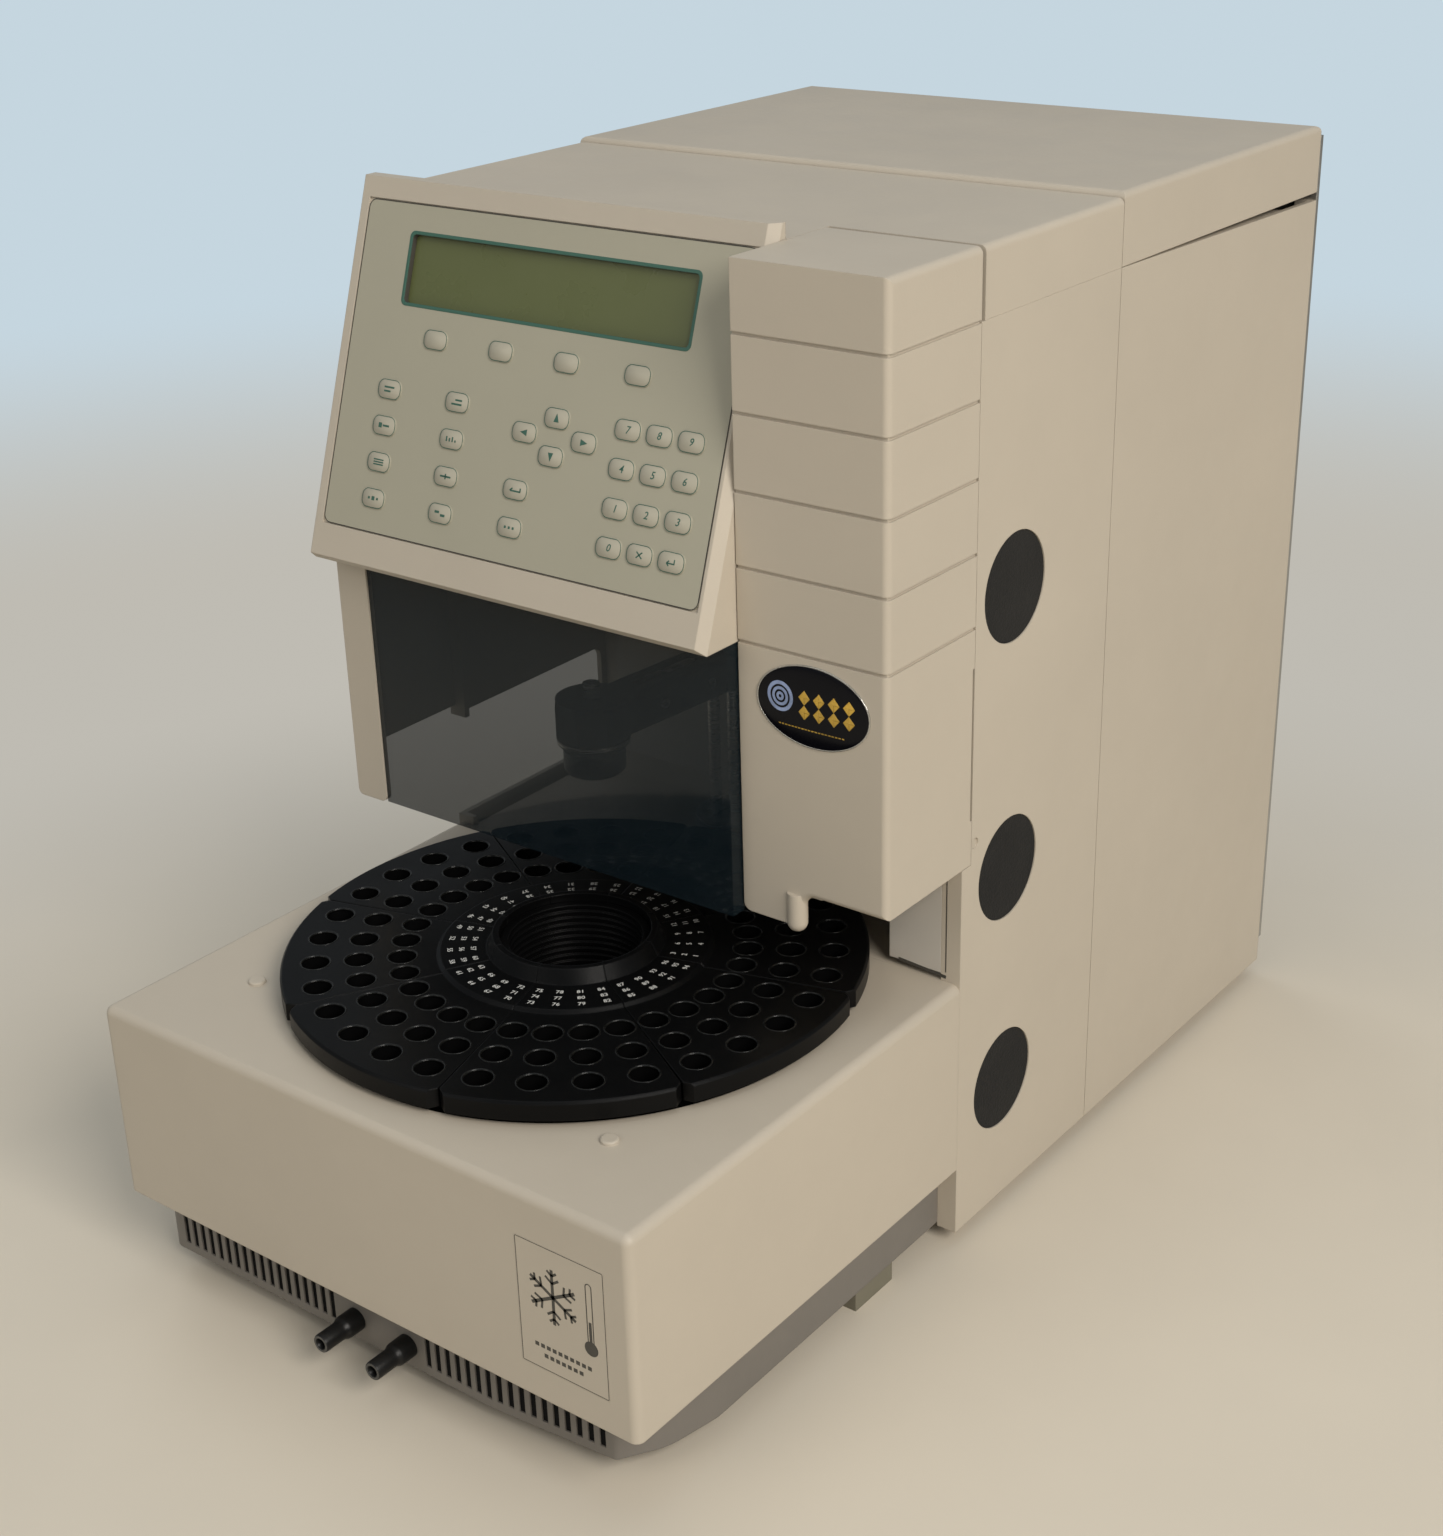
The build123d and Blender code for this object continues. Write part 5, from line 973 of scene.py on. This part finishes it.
# Along each shade sheet: x, and how far it lies back from the sheets' front depth.
SHADE_SHEET_LEFT = ((-133.0, 0.0), (-26.0, 0.0))
SHADE_SHEET_RIGHT = ((20.0, 0.0), (60.0, 0.0), (119.5, 5.3))
SHADE_SHEET_BLACK = surface("shade_sheet_black", (0.008, 0.008, 0.008), 0.9, mottle=0.3, grain=700.0,
                       grain_depth=0.0004, Specular_IOR_Level=0.1)
BASE_FRONT = 12.0
BASE_BEND_X = 60.0
BASE_RECESSION = 0.088
BULGE_BACK = 0.8
BULGE_DEPTH = 3.8
BULGE_WIDTH = 3.1
BULGE_HEIGHTS = (14.2, 38.3)
# Runs of slots: where the first one starts, their pitch and their number.
BULGE_RUNS = ((-130.05, 5.6, 18), (22.65, 5.75, 17))


def base_front(x):
    return BASE_FRONT + max(x - BASE_BEND_X, 0.0) * BASE_RECESSION


def add_upright(form, front, thickness, heights):
    """An upright sheet behind a line of (x, depth) points."""
    back = [(x, depth + thickness) for x, depth in reversed(front)]
    form.skin([[at(x, depth, z) for x, depth in front + back] for z in heights])


def add_grille_shade():
    grille_shade = Form()
    for start, pitch, count in BULGE_RUNS:
        for number in range(count):
            ends = (start + number * pitch, start + number * pitch + BULGE_WIDTH)
            front = [(x, base_front(x) + BULGE_BACK) for x in ends]
            add_upright(grille_shade, front, BULGE_DEPTH, BULGE_HEIGHTS)
    for run in (SHADE_SHEET_LEFT, SHADE_SHEET_RIGHT):
        front = [(x, SHADE_SHEET_FRONT + back) for x, back in run]
        add_upright(grille_shade, front, SHADE_SHEET_THICKNESS, SHADE_SHEET_HEIGHTS)
    # Painted shade: the sheet and its bulges are near black and stand in for the dark inside of the base.
    grille_shade.done("grille_painted_shade", "chassis", SHADE_SHEET_BLACK)


add_grille_shade()


# Needle arm: a faceted cover over its head, a pale band, a clamp strip and screws along the beam.

TOWER = (-32.0, 307.0)
ARM_TURN = radians(5.276)
ARM_REACH = 95.35
ARM_HALF_WIDTH = 12.5
ARM_TOP = 235.0


def arm_spot(across, along, z):
    c, s = cos(ARM_TURN), sin(ARM_TURN)
    return at(TOWER[0] - s * along + c * across, TOWER[1] - c * along - s * across, z)


def arm_place(across, along, z):
    return lambda u, v, w: arm_spot(across + u, along + v, z + w)


SCREW_ROOT = -0.3
# Outline of a screw's head over the surface: shares of its radius and of its height, out and then in.
SCREW_RIM = ((1.0, 0.7), (0.85, 1.0), (0.3, 1.0), (0.3, 0.4), (0.12, 0.4))
SCREW_SIDES = 28


def screw_head(form, centre, axis, radius, tall):
    """A round head with a softened edge and a recess in its middle."""
    inner, core = SCREW_RIM[2][0], SCREW_RIM[-1][0]
    profile = [(radius * inner, SCREW_ROOT), (radius, SCREW_ROOT)]
    profile += [(radius * share, tall * level) for share, level in SCREW_RIM]
    profile.append((radius * core, SCREW_ROOT))
    form.turned(profile, centre, axis, sides=SCREW_SIDES, hollow=True)


HEAD_SIDES = 8
HEAD_RADIUS = 18.45
# Rings of the head's cover: share of its radius, and height.
HEAD_RINGS = ((0.955, 220.2), (1.0, 220.2), (1.0, 235.6), (0.95, 237.4), (0.9, 237.65), (0.85, 237.65),
              (0.955, 236.0))
BAND_RADIUS = 17.25
BAND_WIDTH = 0.5
BAND_HEIGHTS = (216.4, 218.2)
STRIP_SIZE = (5.0, 46.0)
STRIP_CORNER = 1.2
STRIP_ALONG = 44.0
STRIP_ROOT = 0.1
STRIP_RISE = 0.7
STRIP_BEVEL = 0.3
ARM_SCREWS = (28.0, 60.0)
ARM_SCREW_HEIGHT = 226.5
ARM_SCREW = (2.6, 1.1)


def add_arm_details():
    place = arm_place(0.0, ARM_REACH, 0.0)
    cover = Form()
    turns = [pi / HEAD_SIDES + 2 * pi / HEAD_SIDES * k for k in range(HEAD_SIDES)]
    octagon = [(HEAD_RADIUS * cos(turn), HEAD_RADIUS * sin(turn)) for turn in turns]
    rings = [[place(u * share, v * share, z) for u, v in octagon] for share, z in HEAD_RINGS]
    cover.skin(rings, wrapped=True)
    cover.done("arm_head_cover", "arm", M["mechanism_black"], smooth=20.0)
    trim = Form()
    circle = ellipse(BAND_RADIUS, BAND_RADIUS)
    trim.band(circle(), circle(BAND_WIDTH), place, *BAND_HEIGHTS)
    strip = round_rectangle(*STRIP_SIZE, STRIP_CORNER)
    trim.slab(strip, arm_place(0.0, STRIP_ALONG, 0.0), ARM_TOP - STRIP_ROOT, ARM_TOP + STRIP_RISE,
              bevel=STRIP_BEVEL)
    trim.done("arm_strip", "arm", M["steel"])
    screws = Form()
    for along in ARM_SCREWS:
        for side in (1, -1):
            centre = arm_spot(side * ARM_HALF_WIDTH, along, ARM_SCREW_HEIGHT)
            screw_head(screws, centre, (side * cos(ARM_TURN), -side * sin(ARM_TURN), 0), *ARM_SCREW)
    screws.done("arm_screws", "arm", M["steel"])


add_arm_details()


# Foot's spring: a coil between the foot's pocket and the arm's head, built at full length on a mesh of its
# own; the foot travels 18.7 mm.

SPRING_WIRE = 0.75
SPRING_TURNS = 7
SPRING_STEPS = 20


def add_spring():
    low, high = (Vector(corner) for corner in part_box("foot_spring"))
    centre = (low + high) / 2
    length = high.z - low.z
    wire = SPRING_WIRE * MM
    radius = (high.x - low.x) / 2 - wire
    count = SPRING_TURNS * SPRING_STEPS
    path = []
    for step in range(count + 1):
        turn = 2 * pi * step / SPRING_STEPS
        height = low.z + wire + (length - 2 * wire) * step / count
        path.append(Vector((centre.x + radius * cos(turn), centre.y + radius * sin(turn), height)))
    coil = Form()
    coil.tube(path, wire, sides=8)
    made = coil.done("foot_coil", "arm", M["steel"], smooth=60.0)
    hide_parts("foot_spring")
    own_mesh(made)


add_spring()


# Back: contacts in the sockets, screw slots drawn as painted shade, fan screws and a plain rating plate.

REAR_FACE = 547.5
CONNECTOR_X = -10.0
CONNECTOR_HEIGHTS = (200.0, 160.0, 120.0)
CONNECTOR_FACE = 551.5
INLET = (81.0, 75.0)
INLET_FACE = 550.0
FAN = (-70.0, 330.0)
FAN_SCREW_REACH = 35.75
SCREW_X = (-143.5, 143.5)
SCREW_HEIGHTS = (45.0, 225.0, 405.0)
BRASS = surface("brass", (0.55, 0.40, 0.17), 0.3, mottle=0.1, grain=900.0, Metallic=1.0)
SOCKET_FLOOR = -8.05
TONGUE_SIZE = (34.0, 2.4)
TONGUE_CORNER = 0.4
TONGUE_FACE = -2.4
TONGUE_BEVEL = 0.3
CONTACT_COUNT = 12
CONTACT_PITCH = 2.7
CONTACT_ROWS = (-1.35, 1.35)
CONTACT_SIZE = (1.1, 0.3)
CONTACT_CORNER = 0.1
CONTACT_FACE = -2.8
INLET_FLOOR = -16.05
PINS = ((-5.5, -2.5), (5.5, -2.5), (0.0, 2.8))
PIN_SIZE = (1.9, 4.2)
PIN_CORNER = 0.5
PIN_FACE = -3.2
PIN_BEVEL = 0.4


def add_contacts():
    pins = Form()
    tongues = Form()
    for height in CONNECTOR_HEIGHTS:
        place = back_place(CONNECTOR_X, height, CONNECTOR_FACE)
        tongue = round_rectangle(*TONGUE_SIZE, TONGUE_CORNER)
        tongues.slab(tongue, place, SOCKET_FLOOR, TONGUE_FACE, bevel=TONGUE_BEVEL)
        for column in range(CONTACT_COUNT):
            for row in CONTACT_ROWS:
                contact = round_rectangle(*CONTACT_SIZE, CONTACT_CORNER, steps=2)
                contact = shifted(contact, CONTACT_PITCH * (column - (CONTACT_COUNT - 1) / 2), row)
                pins.slab(contact, place, SOCKET_FLOOR, CONTACT_FACE)
    place = back_place(*INLET, INLET_FACE)
    for u, v in PINS:
        pin = shifted(round_rectangle(*PIN_SIZE, PIN_CORNER), u, v)
        pins.slab(pin, place, INLET_FLOOR, PIN_FACE, bevel=PIN_BEVEL)
    tongues.done("socket_tongues", "chassis", M["connector_black"])
    pins.done("socket_contacts", "chassis", BRASS)


CROSS_REACH = 2.2
CROSS_WIDTH = 0.9
CROSS_HEIGHTS = (1.9, 2.03)
FAN_SCREW = (3.4, 1.6)


def add_rear_screws():
    # Painted shade: dark crosses on the rear screw heads stand in for the shade in their recesses.
    cross_shade = Form()
    for x in SCREW_X:
        for height in SCREW_HEIGHTS:
            place = back_place(x, height, REAR_FACE)
            for lean in (1, -1):
                ends = ((-CROSS_REACH, -lean * CROSS_REACH), (CROSS_REACH, lean * CROSS_REACH))
                cross_shade.bar(*ends, CROSS_WIDTH, place, *CROSS_HEIGHTS)
    cross_shade.done("screw_cross_shade", "chassis", DARK_INK_AND_SHADE)
    heads = Form()
    for u in (-FAN_SCREW_REACH, FAN_SCREW_REACH):
        for v in (-FAN_SCREW_REACH, FAN_SCREW_REACH):
            screw_head(heads, at(FAN[0] + u, REAR_FACE, FAN[1] + v), (0, 1, 0), *FAN_SCREW)
    heads.done("fan_screws", "chassis", M["steel"])


RATING_PLACE = (70.0, 160.0)
RATING_SIZE = (64.0, 38.0)
RATING_CORNER = 2.0
RATING_HEIGHTS = (-0.05, 0.4)
RATING_BEVEL = 0.15
RATING_INK = (0.38, 0.44)
RATING_MARGIN = 1.5
RATING_BORDER = 0.35
RATING_BORDER_CORNER = 1.4
RATING_ROWS = 5
RATING_TOP = 11.0
RATING_PITCH = 5.4
RATING_LINE = 1.1
# Two bars in each row: where they start and how long they are. The second is cut back row by row.
RATING_BARS = ((-27.0, 15.0, 0.0), (-8.0, 22.0, 3.0))


def add_rating_plate():
    place = back_place(*RATING_PLACE, REAR_FACE)
    plate = Form()
    plate.slab(round_rectangle(*RATING_SIZE, RATING_CORNER), place, *RATING_HEIGHTS, bevel=RATING_BEVEL)
    plate.done("rating_plate", "chassis", M["aluminium"])
    ink = Form()
    border = grown(RATING_SIZE, -RATING_MARGIN, RATING_BORDER_CORNER)
    ink.band(border(), border(RATING_BORDER), place, *RATING_INK)
    for row in range(RATING_ROWS):
        level = RATING_TOP - RATING_PITCH * row
        for start, length, cut in RATING_BARS:
            end = start + length - cut * (row % 3)
            ink.bar((start, level), (end, level), RATING_LINE, place, *RATING_INK)
    ink.done("rating_lines", "chassis", DARK_INK_AND_SHADE)


add_contacts()
add_rear_screws()
add_rating_plate()


# Catches that show in the gap under the rear lid, and their fellows on the left.

# Each catch: its depth, and how far it stands over the side's top.
CATCHES = ((385.5, 0.8), (495.5, 1.8))
CATCH_X = 147.6
CATCH_SIZE = (3.0, 3.6)
CATCH_CORNER = 0.6
CATCH_ROOT = 0.05
CATCH_BEVEL = 0.2
SIDE_TOP = 431.0


def add_catches():
    catches = Form()
    for side in (-1, 1):
        for depth, rise in CATCHES:
            outline = round_rectangle(*CATCH_SIZE, CATCH_CORNER)
            place = top_place(side * CATCH_X, depth, SIDE_TOP)
            catches.slab(outline, place, -CATCH_ROOT, rise, bevel=CATCH_BEVEL)
    catches.done("lid_catches", "chassis", M["sheet_steel"])


add_catches()


# Beside the tray, under the column: a slot at the plate's foot drawn as painted shade, and a fine dark seam
# up it.

PLATE_FACE = 229.0
SLOT_ENDS = ((117.9, 142.3), (142.8, 140.6))
SLOT_WIDTH = 1.6
SEAM_ENDS = ((142.6, 143.0), (142.6, 191.0))
SEAM_WIDTH = 0.5
MARK_HEIGHTS = (-0.1, 0.12)


def add_plate_marks():
    marks = Form()
    place = front_place(0.0, 0.0, PLATE_FACE)
    # Painted shade: the slot is a dark stroke on the plate that stands in for the shade inside it.
    marks.bar(*SLOT_ENDS, SLOT_WIDTH, place, *MARK_HEIGHTS)
    marks.bar(*SEAM_ENDS, SEAM_WIDTH, place, *MARK_HEIGHTS)
    marks.done("plate_slot_shade_and_seam", "chassis", DARK_INK_AND_SHADE)


add_plate_marks()
